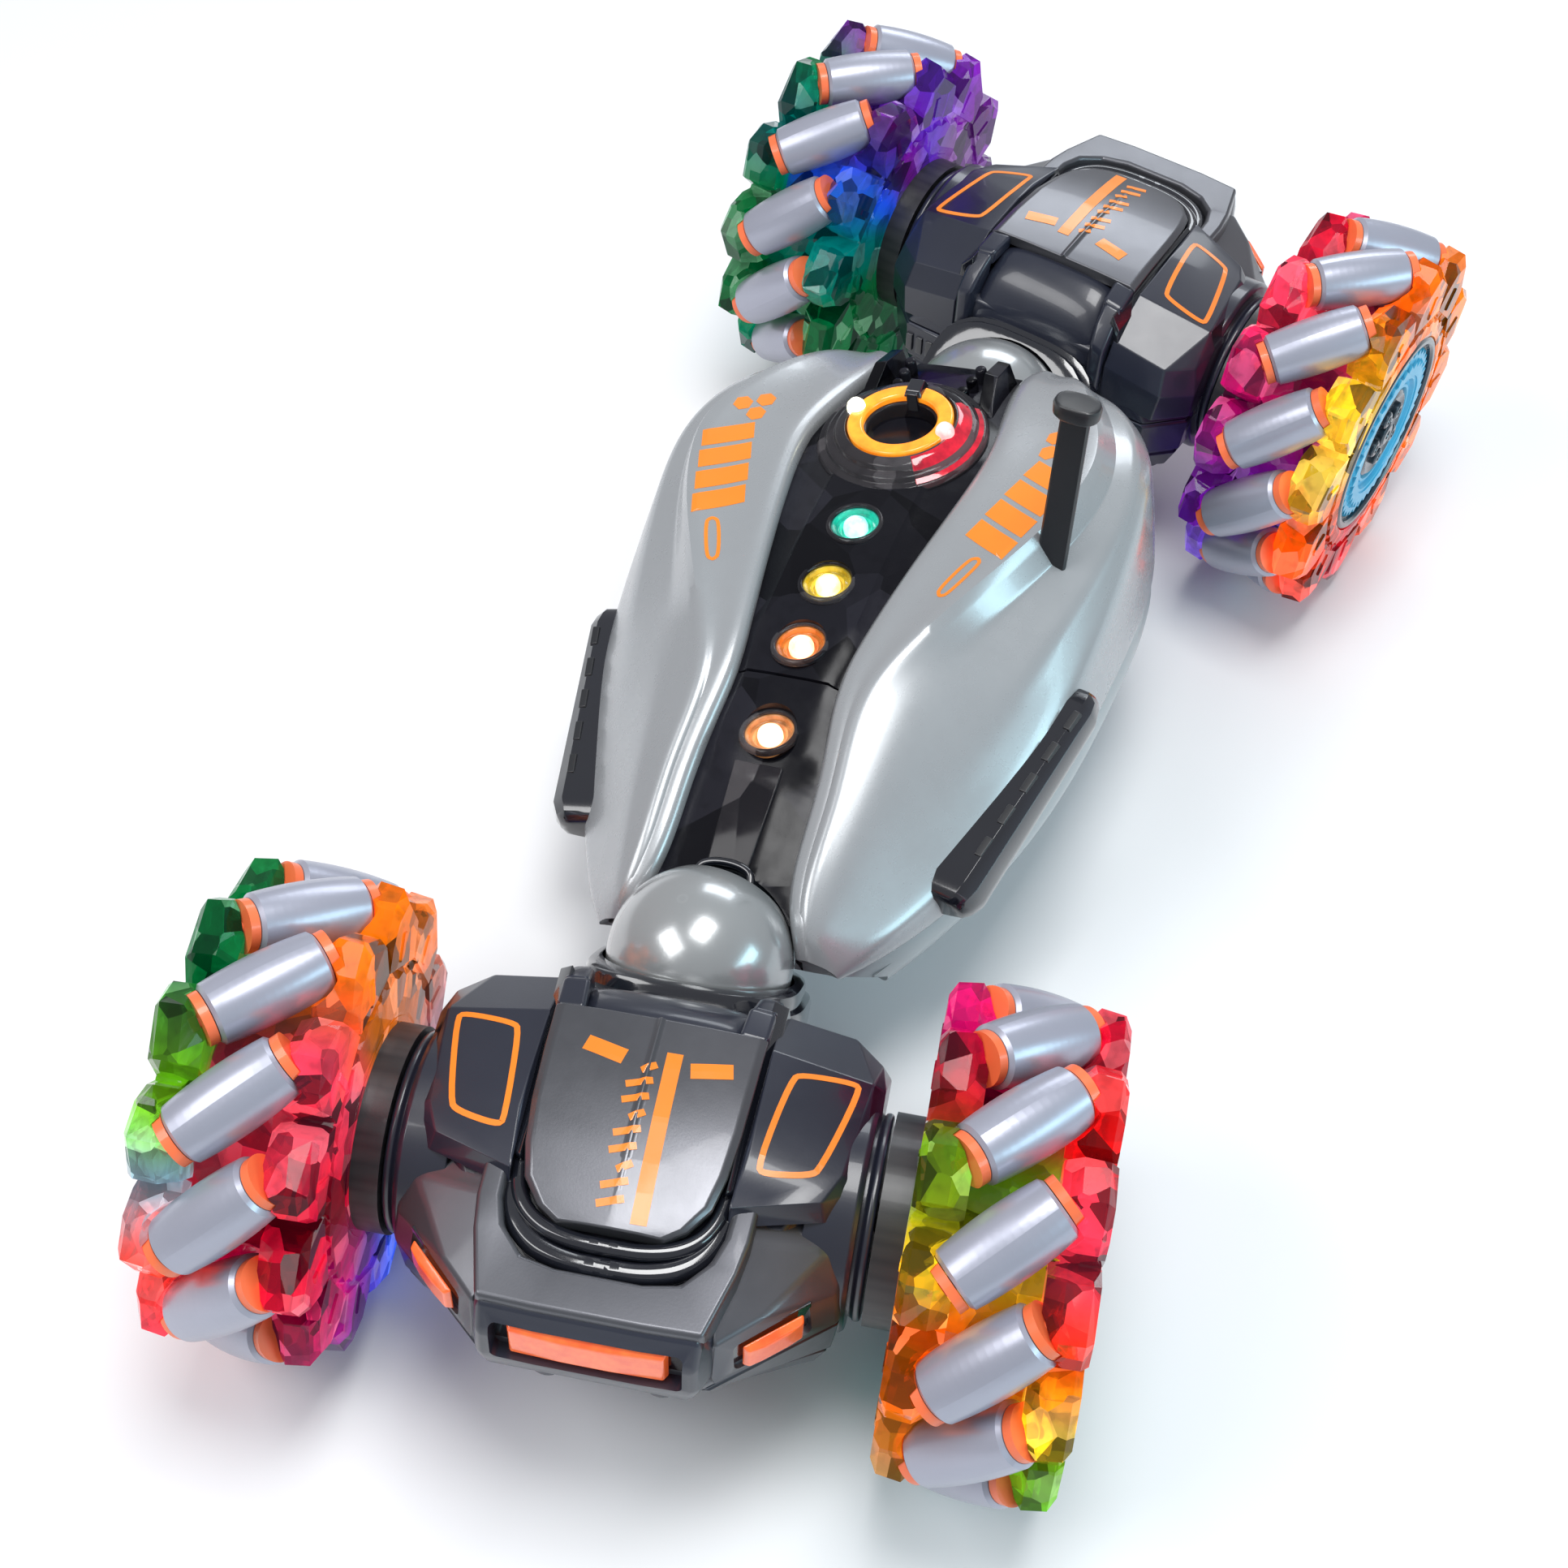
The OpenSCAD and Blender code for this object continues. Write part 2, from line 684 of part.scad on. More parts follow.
module circuit_board() {
    color([0.08, 0.35, 0.18]) {
        translate([-72, -13, board_z]) cube([104, 26, 1.6]);
        for (x = light_x) translate([x, 0, board_z + 1.5])
            cylinder(r = 2.4, h = spine_z(x) - 5.5 - board_z, $fn = 32);
        translate([-34, -7, board_z + 1.5]) cube([12, 12, 2]);
        translate([ring_x - 3, -3, board_z + 1.5]) cube([6, 6, 9]);
    }
    color([0.8, 0.8, 0.8]) translate([charge_x, charge_y, belly_z + wall]) difference() {
        cylinder(r = 4, h = board_z - belly_z - wall + 0.5);
        translate([0, 0, -1]) cylinder(r = charge_r, h = 12);
    }
}

module battery_pack() {
    color([0.16, 0.30, 0.62]) translate([0, 0, -11.5]) cube([58, 34, 19], center = true);
}

module battery_door() {
    color([0.60, 0.62, 0.63]) translate([0, 0, belly_z + 1.1])
        cube([2 * door_x - 0.4, 2 * door_y - 0.4, 2.2], center = true);
}

module power_switch() {
    color([0.1, 0.1, 0.1]) translate([switch_x - 1.5, 0, belly_z]) {
        translate([0, 0, 0.9]) cube([3, 3.4, 2.6], center = true);
        translate([0, 0, 3.2]) cube([6, 6, 1.6], center = true);
    }
}

module hull_screws() {
    color([0.55, 0.55, 0.57]) hull_screw_places() translate([0, 0, belly_z]) {
        cylinder(r = 2.6, h = 1.5, $fn = 32);
        cylinder(r = 1.3, h = 12, $fn = 24);
    }
}

// ---------------------------------------------------------------- drawing

in_body() lower_hull();
in_body() left_panel();
in_body() mirror([0, 1, 0]) side_panel();  // right_panel
in_body() spine_cover();
in_body() spine_lid();
in_body() ring_light();
in_body() spine_lights();
in_body() side_step();  // left_step
in_body() mirror([0, 1, 0]) side_step();  // right_step
in_body() antenna();
in_body() ball_dome(1);  // front_ball
in_body() ball_dome(-1);  // rear_ball
in_body() circuit_board();
in_body() battery_pack();
in_body() battery_door();
in_body() power_switch();
in_body() twist_motors();
in_body() hull_screws();

in_front() axle_lower_shell();  // front_lower_shell
in_front() axle_upper_shell();  // front_upper_shell
in_front() axle_hood();  // front_hood
in_front() axle_collar();  // front_collar
in_front() axle_lamps();  // front_lamps
in_front() axle_motors();  // front_motors
in_front() axle_pinion(1);  // front_left_pinion
in_front() axle_pinion(-1);  // front_right_pinion
in_front() axle_screws();  // front_screws

in_rear() axle_lower_shell();  // rear_lower_shell
in_rear() axle_upper_shell();  // rear_upper_shell
in_rear() axle_hood();  // rear_hood
in_rear() axle_collar();  // rear_collar
in_rear() axle_lamps();  // rear_lamps
in_rear() axle_motors();  // rear_motors
in_rear() axle_pinion(-1);  // rear_left_pinion
in_rear() axle_pinion(1);  // rear_right_pinion
in_rear() axle_screws();  // rear_screws

in_front() at_wheel(1) wheel_axle();  // front_left_axle
in_front() at_wheel(1) wheel_inner_ring();  // front_left_inner_ring
in_front() at_wheel(1) wheel_outer_ring();  // front_left_outer_ring
in_front() at_wheel(1) wheel_rollers();  // front_left_rollers
in_front() at_wheel(1) wheel_roller_pins();  // front_left_roller_pins
in_front() at_wheel(1) wheel_hub_cap();  // front_left_hub_cap

in_front() at_wheel(-1) wheel_axle();  // front_right_axle
in_front() at_wheel(-1) wheel_inner_ring();  // front_right_inner_ring
in_front() at_wheel(-1) wheel_outer_ring();  // front_right_outer_ring
in_front() at_wheel(-1) wheel_rollers();  // front_right_rollers
in_front() at_wheel(-1) wheel_roller_pins();  // front_right_roller_pins
in_front() at_wheel(-1) wheel_hub_cap();  // front_right_hub_cap

in_rear() at_wheel(-1) wheel_axle();  // rear_left_axle
in_rear() at_wheel(-1) wheel_inner_ring();  // rear_left_inner_ring
in_rear() at_wheel(-1) wheel_outer_ring();  // rear_left_outer_ring
in_rear() at_wheel(-1) wheel_rollers();  // rear_left_rollers
in_rear() at_wheel(-1) wheel_roller_pins();  // rear_left_roller_pins
in_rear() at_wheel(-1) wheel_hub_cap();  // rear_left_hub_cap

in_rear() at_wheel(1) wheel_axle();  // rear_right_axle
in_rear() at_wheel(1) wheel_inner_ring();  // rear_right_inner_ring
in_rear() at_wheel(1) wheel_outer_ring();  // rear_right_outer_ring
in_rear() at_wheel(1) wheel_rollers();  // rear_right_rollers
in_rear() at_wheel(1) wheel_roller_pins();  // rear_right_roller_pins
in_rear() at_wheel(1) wheel_hub_cap();  // rear_right_hub_cap
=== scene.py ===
import json
import math
import bpy
import bmesh
from mathutils import Matrix, Vector
from mathutils.bvhtree import BVHTree


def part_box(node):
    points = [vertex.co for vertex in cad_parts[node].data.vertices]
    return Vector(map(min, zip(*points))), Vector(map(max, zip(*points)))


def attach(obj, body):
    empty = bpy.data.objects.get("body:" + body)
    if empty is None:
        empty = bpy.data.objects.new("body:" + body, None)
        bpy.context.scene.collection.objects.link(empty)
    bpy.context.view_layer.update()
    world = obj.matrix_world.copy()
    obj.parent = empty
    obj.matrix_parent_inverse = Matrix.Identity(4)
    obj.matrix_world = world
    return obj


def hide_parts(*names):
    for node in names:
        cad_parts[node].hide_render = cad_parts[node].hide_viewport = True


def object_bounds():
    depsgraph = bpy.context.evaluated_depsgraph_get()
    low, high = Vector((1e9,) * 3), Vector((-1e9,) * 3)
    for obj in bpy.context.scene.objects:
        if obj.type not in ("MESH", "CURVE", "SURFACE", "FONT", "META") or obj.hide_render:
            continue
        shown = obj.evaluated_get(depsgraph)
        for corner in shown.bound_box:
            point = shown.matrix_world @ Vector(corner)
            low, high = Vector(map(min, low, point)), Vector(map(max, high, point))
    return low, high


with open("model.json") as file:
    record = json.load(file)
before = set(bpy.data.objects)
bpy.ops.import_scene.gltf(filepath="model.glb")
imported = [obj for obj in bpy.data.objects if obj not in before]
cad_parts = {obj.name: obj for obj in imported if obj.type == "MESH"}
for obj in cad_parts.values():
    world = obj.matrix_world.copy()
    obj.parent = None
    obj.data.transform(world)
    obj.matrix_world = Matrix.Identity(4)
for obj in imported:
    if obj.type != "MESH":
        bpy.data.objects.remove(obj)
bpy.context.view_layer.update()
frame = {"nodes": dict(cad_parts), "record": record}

nodes = frame["nodes"]
joints = {j["name"]: j for j in frame["record"]["behaviour"]["joints"]}
TAU = 2 * math.pi
MM = 0.001                  # one millimetre in metres
SLANT = math.radians(135)   # turn of the twist axes, seen from the side

# ------------------------------------------------------------------ frames
# Local coordinates are millimetres; every frame scales to metres.


def at(name):
    return Vector(joints[name]["pos_m"])


def frame_of(origin, x, y):
    x = x.normalized()
    z = x.cross(y).normalized()
    m = Matrix((x, z.cross(x), z)).transposed().to_4x4()
    m.translation = origin
    return m @ Matrix.Scale(MM, 4)


def body_frame():
    front, rear = at("front_twist"), at("rear_twist")
    x = (front - rear).normalized()
    axis = Vector(joints["front_twist"]["axis"])
    if axis.dot(x) < 0:
        axis = -axis
    z = x * axis.dot(x) - axis
    return frame_of((front + rear) / 2, x, z.cross(x))


def module_frame(end):
    left, right = at(end + "_left_spin"), at(end + "_right_spin")
    middle = (left + right) / 2
    side = left - right if end == "front" else right - left
    return frame_of(middle, middle - at(end + "_twist"), side)


BODY = body_frame()
MODULE = {end: module_frame(end) for end in ("front", "rear")}
TRACK = (at("front_left_spin") - at("front_right_spin")).length * 1000


def wheel_frame(end, hand):
    out = 1 if (end == "front") == (hand == "left") else -1
    turn = Matrix.Rotation(0 if out > 0 else math.pi, 4, "Z")
    return MODULE[end] @ turn @ Matrix.Translation((0, TRACK / 2, 0))


# ------------------------------------------------------------------ materials

M = {}   # every material by its name


class Nodes:
    """Small helper around one material's node tree."""

    def __init__(self, name):
        M[name] = bpy.data.materials.new(name)
        M[name].use_nodes = True
        self.tree = M[name].node_tree
        self.bsdf = self.tree.nodes["Principled BSDF"]
        self.coords = self.add("ShaderNodeTexCoord").outputs["Object"]

    def put(self, socket, v):
        """Links an output to a socket, or sets the socket to a number, a vector or a colour."""
        if hasattr(v, "is_linked"):
            self.tree.links.new(v, socket)
        elif socket.type == "RGBA":
            socket.default_value = (*v[:3], 1)
        else:
            socket.default_value = v

    def add(self, kind, inputs=None, **values):
        n = self.tree.nodes.new(kind)
        for k, v in values.items():
            setattr(n, k, v)
        for k, v in (inputs or {}).items():
            self.put(n.inputs[k], v)
        return n

    def noise(self, scale, detail=3.0, rough=0.55):
        return self.add("ShaderNodeTexNoise", {"Scale": scale, "Detail": detail, "Roughness": rough,
                                               "Vector": self.coords}).outputs["Fac"]

    def spread(self, value, low, high, start=0.3, end=0.7):
        return self.add("ShaderNodeMapRange", {"Value": value, "From Min": start, "From Max": end,
                                               "To Min": low, "To Max": high}).outputs["Result"]

    def math(self, operation, *values):
        return self.add("ShaderNodeMath", dict(enumerate(values)), operation=operation).outputs[0]

    def vector(self, operation, inputs):
        return self.add("ShaderNodeVectorMath", inputs, operation=operation).outputs[0]

    def mix(self, factor, a, b, blend="MIX"):
        return self.add("ShaderNodeMix", {0: factor, 6: a, 7: b}, data_type="RGBA", blend_type=blend).outputs[2]

    def edges(self):
        """1 along the outer edges, which wear first."""
        return self.spread(self.add("ShaderNodeNewGeometry").outputs["Pointiness"], 0.0, 1.0, 0.55, 0.68)

    def bump(self, height, strength, distance, after=None):
        inputs = {"Strength": strength, "Distance": distance, "Height": height}
        if after:
            inputs["Normal"] = after
        return self.add("ShaderNodeBump", inputs).outputs["Normal"]

    def set(self, **values):
        for k, v in values.items():
            self.put(self.bsdf.inputs[k.replace("_", " ")], v)


def shade(color, k):
    return tuple(min(1.0, c * k) for c in color[:3])


CLOUD, GRAIN = 18, 1800     # noise scales of a plastic: slow clouds and fine grain


def plastic(name, color, rough, metallic, coat, vary, bump=0.08, wear=0.35, wear_color=None):
    n = Nodes(name)
    tone = n.mix(n.spread(n.noise(CLOUD, 4, 0.6), 0, 1), shade(color, 1 - vary), shade(color, 1 + vary))
    tone = n.mix(n.spread(n.noise(420, 2), 0, 0.03, 0.45, 0.75), tone, shade(color, 0.7))
    base = n.mix(n.math("MULTIPLY", n.edges(), wear), tone, wear_color or shade(color, 1.7))
    fine = n.bump(n.noise(GRAIN, 2), bump, 0.00012)
    n.set(Base_Color=base, Metallic=metallic, Coat_Weight=coat, Coat_Roughness=0.06,
          Roughness=n.spread(n.noise(95, 4, 0.7), rough * 0.92, rough * 1.12),
          Normal=n.bump(n.noise(CLOUD * 2, 1), 0.02, 0.001, fine))


def glowing(name, color, strength, rough, deep):
    n = Nodes(name)
    tone = n.mix(n.spread(n.noise(260, 3), 0, 1), deep, color)
    n.set(Base_Color=tone, Emission_Color=tone, Emission_Strength=strength, Coat_Weight=0.6,
          Roughness=n.spread(n.noise(120), rough * 0.8, rough * 1.2),
          Normal=n.bump(n.noise(900, 2), 0.1, 0.0002))


def clear(name, color, rough, through, glow, cells, tint=False):
    """Clear moulded plastic with painted shade on some cells, and with tint painted highlights on others. With tint,
    the colour is the mesh's own tint attribute.
    """
    n = Nodes(name)
    if tint:
        color = n.add("ShaderNodeAttribute", attribute_name="tint").outputs["Color"]
    cell = n.add("ShaderNodeTexVoronoi", {"Scale": cells, "Vector": n.coords}, feature="F1").outputs["Color"]
    parts = n.add("ShaderNodeSeparateColor", {0: cell}).outputs
    # Painted shade: darker cells stand for facets in shade
    dark = n.mix(1.0, color, (0.16, 0.16, 0.19), "MULTIPLY")
    tone = n.mix(n.spread(parts[0], 0, 1, 0.1, 0.8), dark, color)
    # Painted highlights: with tint, some cells are paled towards white as lit facets
    if tint:
        tone = n.mix(n.spread(parts[1], 0, 1, 0.78, 0.92), tone, n.mix(0.16, color, (1, 1, 1)))
    tone = n.mix(n.spread(n.noise(210, 2), 0, 0.3, 0.5, 0.7), tone, dark)
    if tint:
        tone = n.mix(0.6, tone, n.mix(1.0, tone, tone, "MULTIPLY"))
    # Every cell of the plastic's inner structure tips the surface a little its own way,
    # less on the flat sides of a wheel
    axes = n.add("ShaderNodeSeparateXYZ", {0: n.add("ShaderNodeTexCoord").outputs["Normal"]})
    side = n.math("ABSOLUTE", axes.outputs[1])
    k = 0.42 if tint else 0.02
    tip = n.vector("SCALE", {0: n.vector("SUBTRACT", {0: cell, 1: (0.5, 0.5, 0.5)}),
                             "Scale": n.spread(side, k, k * 0.15, 0.55, 0.9)})
    normal = n.vector("ADD", {0: n.add("ShaderNodeNewGeometry").outputs["Normal"], 1: tip})
    n.set(Base_Color=tone, Transmission_Weight=through, IOR=1.3,
          Specular_IOR_Level=n.spread(side, 0.4, 0.08, 0.55, 0.9),
          Roughness=n.spread(n.noise(130), rough * 0.7, rough * 1.6), Normal=n.vector("NORMALIZE", {0: normal}))
    if glow:
        n.set(Emission_Color=tone, Emission_Strength=n.spread(side, glow, glow * 1.8, 0.55, 0.9))


plastic("panel_silver", (0.36, 0.375, 0.39), 0.27, 0.35, 0.35, 0.03, bump=0.03, wear=0.05, wear_color=(0.75, 0.78, 0.8))
plastic("hull_grey", (0.33, 0.37, 0.385), 0.30, 0.25, 0.35, 0.06, wear=0.25)
plastic("ball_silver", (0.36, 0.375, 0.38), 0.22, 0.45, 0.6, 0.05)
plastic("charcoal", (0.017, 0.020, 0.034), 0.30, 0.0, 0.35, 0.15, wear=0.4, wear_color=(0.10, 0.12, 0.17))
plastic("hood", (0.12, 0.122, 0.135), 0.30, 0.75, 0.25, 0.08, wear=0.5, wear_color=(0.3, 0.31, 0.34))
plastic("tier", (0.10, 0.102, 0.115), 0.34, 0.6, 0.2, 0.08, wear=0.6, wear_color=(0.3, 0.32, 0.35))
plastic("black", (0.008, 0.009, 0.014), 0.14, 0.0, 0.9, 0.2, wear=0.3, wear_color=(0.05, 0.06, 0.08))
plastic("satin_black", (0.010, 0.011, 0.014), 0.38, 0.0, 0.1, 0.2, wear=0.5, wear_color=(0.09, 0.09, 0.09))
plastic("roller", (0.40, 0.41, 0.49), 0.33, 0.45, 0.15, 0.03, bump=0.02, wear=0.05)
plastic("bush", (0.95, 0.17, 0.055), 0.38, 0.0, 0.3, 0.10, wear=0.2)
plastic("decal", (0.92, 0.235, 0.01), 0.34, 0.0, 0.4, 0.10, bump=0.05, wear=0.0)
glowing("lamp", (0.95, 0.17, 0.035), 0.25, 0.18, (0.85, 0.10, 0.02))
glowing("ring_glow", (1.0, 0.24, 0.01), 0.55, 0.2, (1.0, 0.36, 0.02))
plastic("hub_cyan", (0.05, 0.42, 0.66), 0.38, 0.0, 0.2, 0.10, wear=0.5, wear_color=(0.5, 0.85, 0.95))
plastic("hub_dark", (0.03, 0.045, 0.06), 0.25, 0.3, 0.5, 0.15, wear=0.5)
plastic("steel", (0.5, 0.5, 0.52), 0.3, 1.0, 0.0, 0.08, wear=0.2)
plastic("brass", (0.62, 0.44, 0.18), 0.3, 1.0, 0.0, 0.08, wear=0.2)
plastic("board", (0.02, 0.13, 0.06), 0.4, 0.0, 0.4, 0.15, wear=0.2)
plastic("battery", (0.05, 0.14, 0.42), 0.35, 0.0, 0.3, 0.10, wear=0.2)
clear("crystal", (1, 1, 1), 0.035, 0.62, 0.48, 150, tint=True)
clear("smoke", (0.020, 0.020, 0.028), 0.17, 0.25, 0.0, 60)
clear("smoke_clear", (0.16, 0.15, 0.16), 0.04, 0.6, 0.0, 60)

# ------------------------------------------------------------------ mesh tools


def link_object(name, data):
    obj = bpy.data.objects.new(name, data)
    bpy.context.scene.collection.objects.link(obj)
    return obj


def place_mesh(name, bm, place):
    """Turns a bmesh in local millimetres into a placed object."""
    bmesh.ops.recalc_face_normals(bm, faces=bm.faces)
    mesh = bpy.data.meshes.new(name)
    bm.to_mesh(mesh)
    bm.free()
    mesh.transform(place)
    return link_object(name, mesh)


def tool(bm, place):
    """A cutter object from a bmesh."""
    return place_mesh("tool", bm, place)


def round_off(obj, levels):
    m = obj.modifiers.new("round", "SUBSURF")
    m.levels = m.render_levels = levels


def give(obj, body, node):
    """Puts a piece on its body. Where node is given, it stands for that CAD node."""
    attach(obj, body)
    if node:
        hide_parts(node)
    return obj


def finish_mesh(name, bm, place, body, mat, slot, node=None, angle=35, bevel=0.0, steps=3, sub=0, smooth=True):
    """Turns a bmesh in local millimetres into a finished piece."""
    obj = place_mesh(name, bm, place)
    obj.data.materials.append(M[mat])
    if sub:
        round_off(obj, sub)
    if bevel:
        m = obj.modifiers.new("edge", "BEVEL")
        m.width = bevel * MM
        m.segments = steps
        m.limit_method = "ANGLE"
        m.angle_limit = math.radians(angle)
        m.use_clamp_overlap = True
    if smooth:
        for p in obj.data.polygons:
            p.use_smooth = True
        if bevel and not sub:
            obj.modifiers.new("even", "WEIGHTED_NORMAL").keep_sharp = True
    return give(obj, body, node)


def hull(bm, points):
    """Adds the convex hull of the points to bm."""
    part = bmesh.new()
    for p in points:
        part.verts.new(p)
    bmesh.ops.convex_hull(part, input=part.verts)
    bmesh.ops.delete(part, geom=[v for v in part.verts if not v.link_faces], context="VERTS")
    bmesh.ops.dissolve_limit(part, angle_limit=math.radians(1.5), verts=part.verts, edges=part.edges)
    merge(bm, part)


def merge(bm, part, matrix=None):
    mesh = bpy.data.meshes.new("part")
    part.to_mesh(mesh)
    part.free()
    if matrix:
        mesh.transform(matrix)
    bm.from_mesh(mesh)
    bpy.data.meshes.remove(mesh)


def circle(r, h, count):
    return [(r * math.cos(TAU * i / count), r * math.sin(TAU * i / count), h) for i in range(count)]


def lathe(bm, profile, count, matrix=None):
    """Turns a closed profile of (radius, height) around +Z."""
    part = bmesh.new()
    loft(part, [circle(r, h, count) for r, h in profile], closed=True)
    bmesh.ops.remove_doubles(part, verts=part.verts, dist=1e-4)
    bmesh.ops.dissolve_degenerate(part, edges=part.edges, dist=1e-4)
    bmesh.ops.recalc_face_normals(part, faces=part.faces)
    merge(bm, part, matrix)


def solid_lathe(bm, profile, count, matrix=None):
    """Turns an open profile that starts and ends on the axis."""
    part = bmesh.new()
    rings = [[part.verts.new(p) for p in (circle(r, h, count) if r else [(0, 0, h)])] for r, h in profile]
    for a, b in zip(rings, rings[1:]):
        for i in range(count):
            j = (i + 1) % count
            if len(a) == 1:
                part.faces.new((a[0], b[j], b[i]))
            elif len(b) == 1:
                part.faces.new((a[i], a[j], b[0]))
            else:
                part.faces.new((a[i], a[j], b[j], b[i]))
    bmesh.ops.recalc_face_normals(part, faces=part.faces)
    merge(bm, part, matrix)


def turned(name, profile, count, *rest, solid=False, matrix=None, **more):
    """A finished piece turned from one profile."""
    bm = bmesh.new()
    (solid_lathe if solid else lathe)(bm, profile, count, matrix)
    return finish_mesh(name, bm, *rest, **more)


def loft(bm, rings, closed=False, caps=True):
    """Skin through rings of the same number of points."""
    rows = [[bm.verts.new(p) for p in ring] for ring in rings]
    n = len(rows[0])
    for a, b in list(zip(rows, rows[1:])) + ([(rows[-1], rows[0])] if closed else []):
        for i in range(n):
            j = (i + 1) % n
            bm.faces.new((a[i], a[j], b[j], b[i]))
    if caps and not closed:
        bm.faces.new(rows[0])
        bm.faces.new(list(reversed(rows[-1])))


def skin(rings):
    """A new bmesh with one loft in it."""
    bm = bmesh.new()
    loft(bm, rings)
    return bm


def merge_loft(bm, rings, triangles=False, matrix=None):
    """Adds a closed loft to bm, cut into triangles where asked."""
    part = bmesh.new()
    loft(part, rings, closed=True)
    if triangles:
        bmesh.ops.triangulate(part, faces=part.faces)
    bmesh.ops.recalc_face_normals(part, faces=part.faces)
    merge(bm, part, matrix)


def box_points(x0, x1, y0, y1, z0, z1):
    return [(x, y, z) for x in (x0, x1) for y in (y0, y1) for z in (z0, z1)]


def both(points):
    """The points and their mirror images."""
    return [(x, s * y, z) for s in (1, -1) for x, y, z in points]


def pair(*groups):
    """A new bmesh with the hull of each group of points and the hull's mirror image."""
    bm = bmesh.new()
    for points in groups:
        hull(bm, points)
        hull(bm, [(x, -y, z) for x, y, z in points])
    return bm


def evaluated(obj):
    """A new mesh of obj, with its modifiers applied."""
    bpy.context.view_layer.update()
    graph = bpy.context.evaluated_depsgraph_get()
    return bpy.data.meshes.new_from_object(obj.evaluated_get(graph), depsgraph=graph)


def cut(obj, cutters):
    """Takes the cutters' shapes out of obj. The cutters are removed."""
    for c in cutters:
        m = obj.modifiers.new("cut", "BOOLEAN")
        m.operation = "DIFFERENCE"
        m.solver = "MANIFOLD"
        m.object = c
    mesh = evaluated(obj)
    obj.modifiers.clear()
    old = obj.data
    obj.data = mesh
    bpy.data.meshes.remove(old)
    for c in cutters:
        bpy.data.objects.remove(c)
    return obj


def soften(obj, degrees):
    """Smooth shading with sharp edges kept sharp."""
    bm = bmesh.new()
    bm.from_mesh(obj.data)
    limit = math.radians(degrees)
    for f in bm.faces:
        f.smooth = True
    for e in bm.edges:
        e.smooth = len(e.link_faces) == 2 and e.calc_face_angle(0) < limit
    bm.to_mesh(obj.data)
    bm.free()


# ------------------------------------------------------------------ wheels

HALF = 19.0             # half width of a wheel
CLAW_IN = 8.4           # where a claw begins, from the wheel's middle plane
CLAW_ROOT = 34.5        # inner radius of a claw
ROLLERS = 12            # and as many claws on each ring
ROLLER_TILT = math.pi / 4
ROLLER_END = 14.45      # from a roller's middle to the claw at its end, along the roller
PITCH = 44.7            # radius that the rollers' centres lie on
CLAW_TURN = math.atan(ROLLER_END * math.sin(ROLLER_TILT) / PITCH)
# From "drawn upwards" to the wheel's own axis, +Y
ALONG_Y = Matrix.Rotation(-math.pi / 2, 4, "X")


def polar(r, a, h, t=0.0):
    """Point at radius r and side offset t in the direction a, height h."""
    return (r * math.cos(a) - t * math.sin(a), r * math.sin(a) + t * math.cos(a), h)


def claw(bm, a, low, high):
    """One pointed claw between the heights low and high, cut like a saw tooth."""
    s = 1 if high > low else -1

    def row(h, grow, lift=0.0):
        pts = [(CLAW_ROOT, -9.4), (44.6 + lift, -8.7), (51.3 + lift, 0.8), (47.4, 6.8), (40.6, 9.3), (CLAW_ROOT, 9.4)]
        pts = [(CLAW_ROOT + (r - CLAW_ROOT) * grow, t * (0.75 + 0.25 * grow) * s) for r, t in pts]
        return [polar(r, a, h, t) for r, t in (pts if s > 0 else reversed(pts))]

    part = skin([row(low, 0.74), row(low + s * 3.6, 1.0, 0.2), row(high - s * 1.9, 0.97), row(high - s * 0.35, 0.80)])
    bmesh.ops.triangulate(part, faces=[f for f in part.faces if len(f.verts) == 4])
    bmesh.ops.recalc_face_normals(part, faces=part.faces)
    merge(bm, part)
    # Long raised bar on the claw's face
    hull(bm, [polar(r, a, high - s * drop, t + s * 0.6) for r, t, drop in (
        (35.0, -2.4, 1.4), (43.0, -2.0, 1.4), (43.0, 0.4, 1.4), (35.0, 0.4, 1.4),
        (35.8, -1.8, 0.02), (41.8, -1.6, 0.02), (41.8, -0.1, 0.02), (35.8, -0.1, 0.02))])


def faceted_band(bm, low, high):
    """Hollow drum between the claws whose skin is cut into triangles."""
    count, levels = 48, 5
    rings = []
    for k in range(levels + 1):
        ring = []
        for i in range(count):
            a = TAU * (i + 0.5 * (k % 2)) / count
            r = 36.8 - (1.3 if (i + k) % 3 == 0 else 0.0)
            ring.append((r * math.cos(a), r * math.sin(a), low + (high - low) * k / levels))
        rings.append(ring)
    merge_loft(bm, rings + [circle(33.2, h, count) for h in (high, low)], triangles=True)


def face_disc(bm, s, inner_r, h_low, h_high):
    """The wheel's side between hub and claws, with raised triangular facets."""
    count = 72

    def ring(r, h, saw=0.0):
        return [(polar(r + (saw if i % 2 else 0), TAU * i / count, h)) for i in range(count)]

    merge_loft(bm, [ring(inner_r, h_low), ring(inner_r, h_high - s * 0.2), ring(inner_r + 1.2, h_high),
                    ring(32.0, h_high - s * 0.3, 0.9), ring(34.0, h_high - s * 1.6, -0.8),
                    ring(36.9, h_high - s * 0.6), ring(36.9, h_low)], triangles=True)


def roller_matrix(i):
    return (ALONG_Y @ Matrix.Rotation(TAU * i / ROLLERS, 4, "Z") @ Matrix.Translation((PITCH, 0, 0))
            @ Matrix.Rotation(ROLLER_TILT, 4, "X"))


def roller_rooms():
    bm = bmesh.new()
    for i in range(ROLLERS):
        solid_lathe(bm, [(0, -14.7), (5.9, -14.7), (5.9, -12.45), (7.6, -12.45), (7.6, 12.45),
                         (5.9, 12.45), (5.9, 14.7), (0, 14.7)], 24, roller_matrix(i))
    return tool(bm, Matrix.Identity(4))


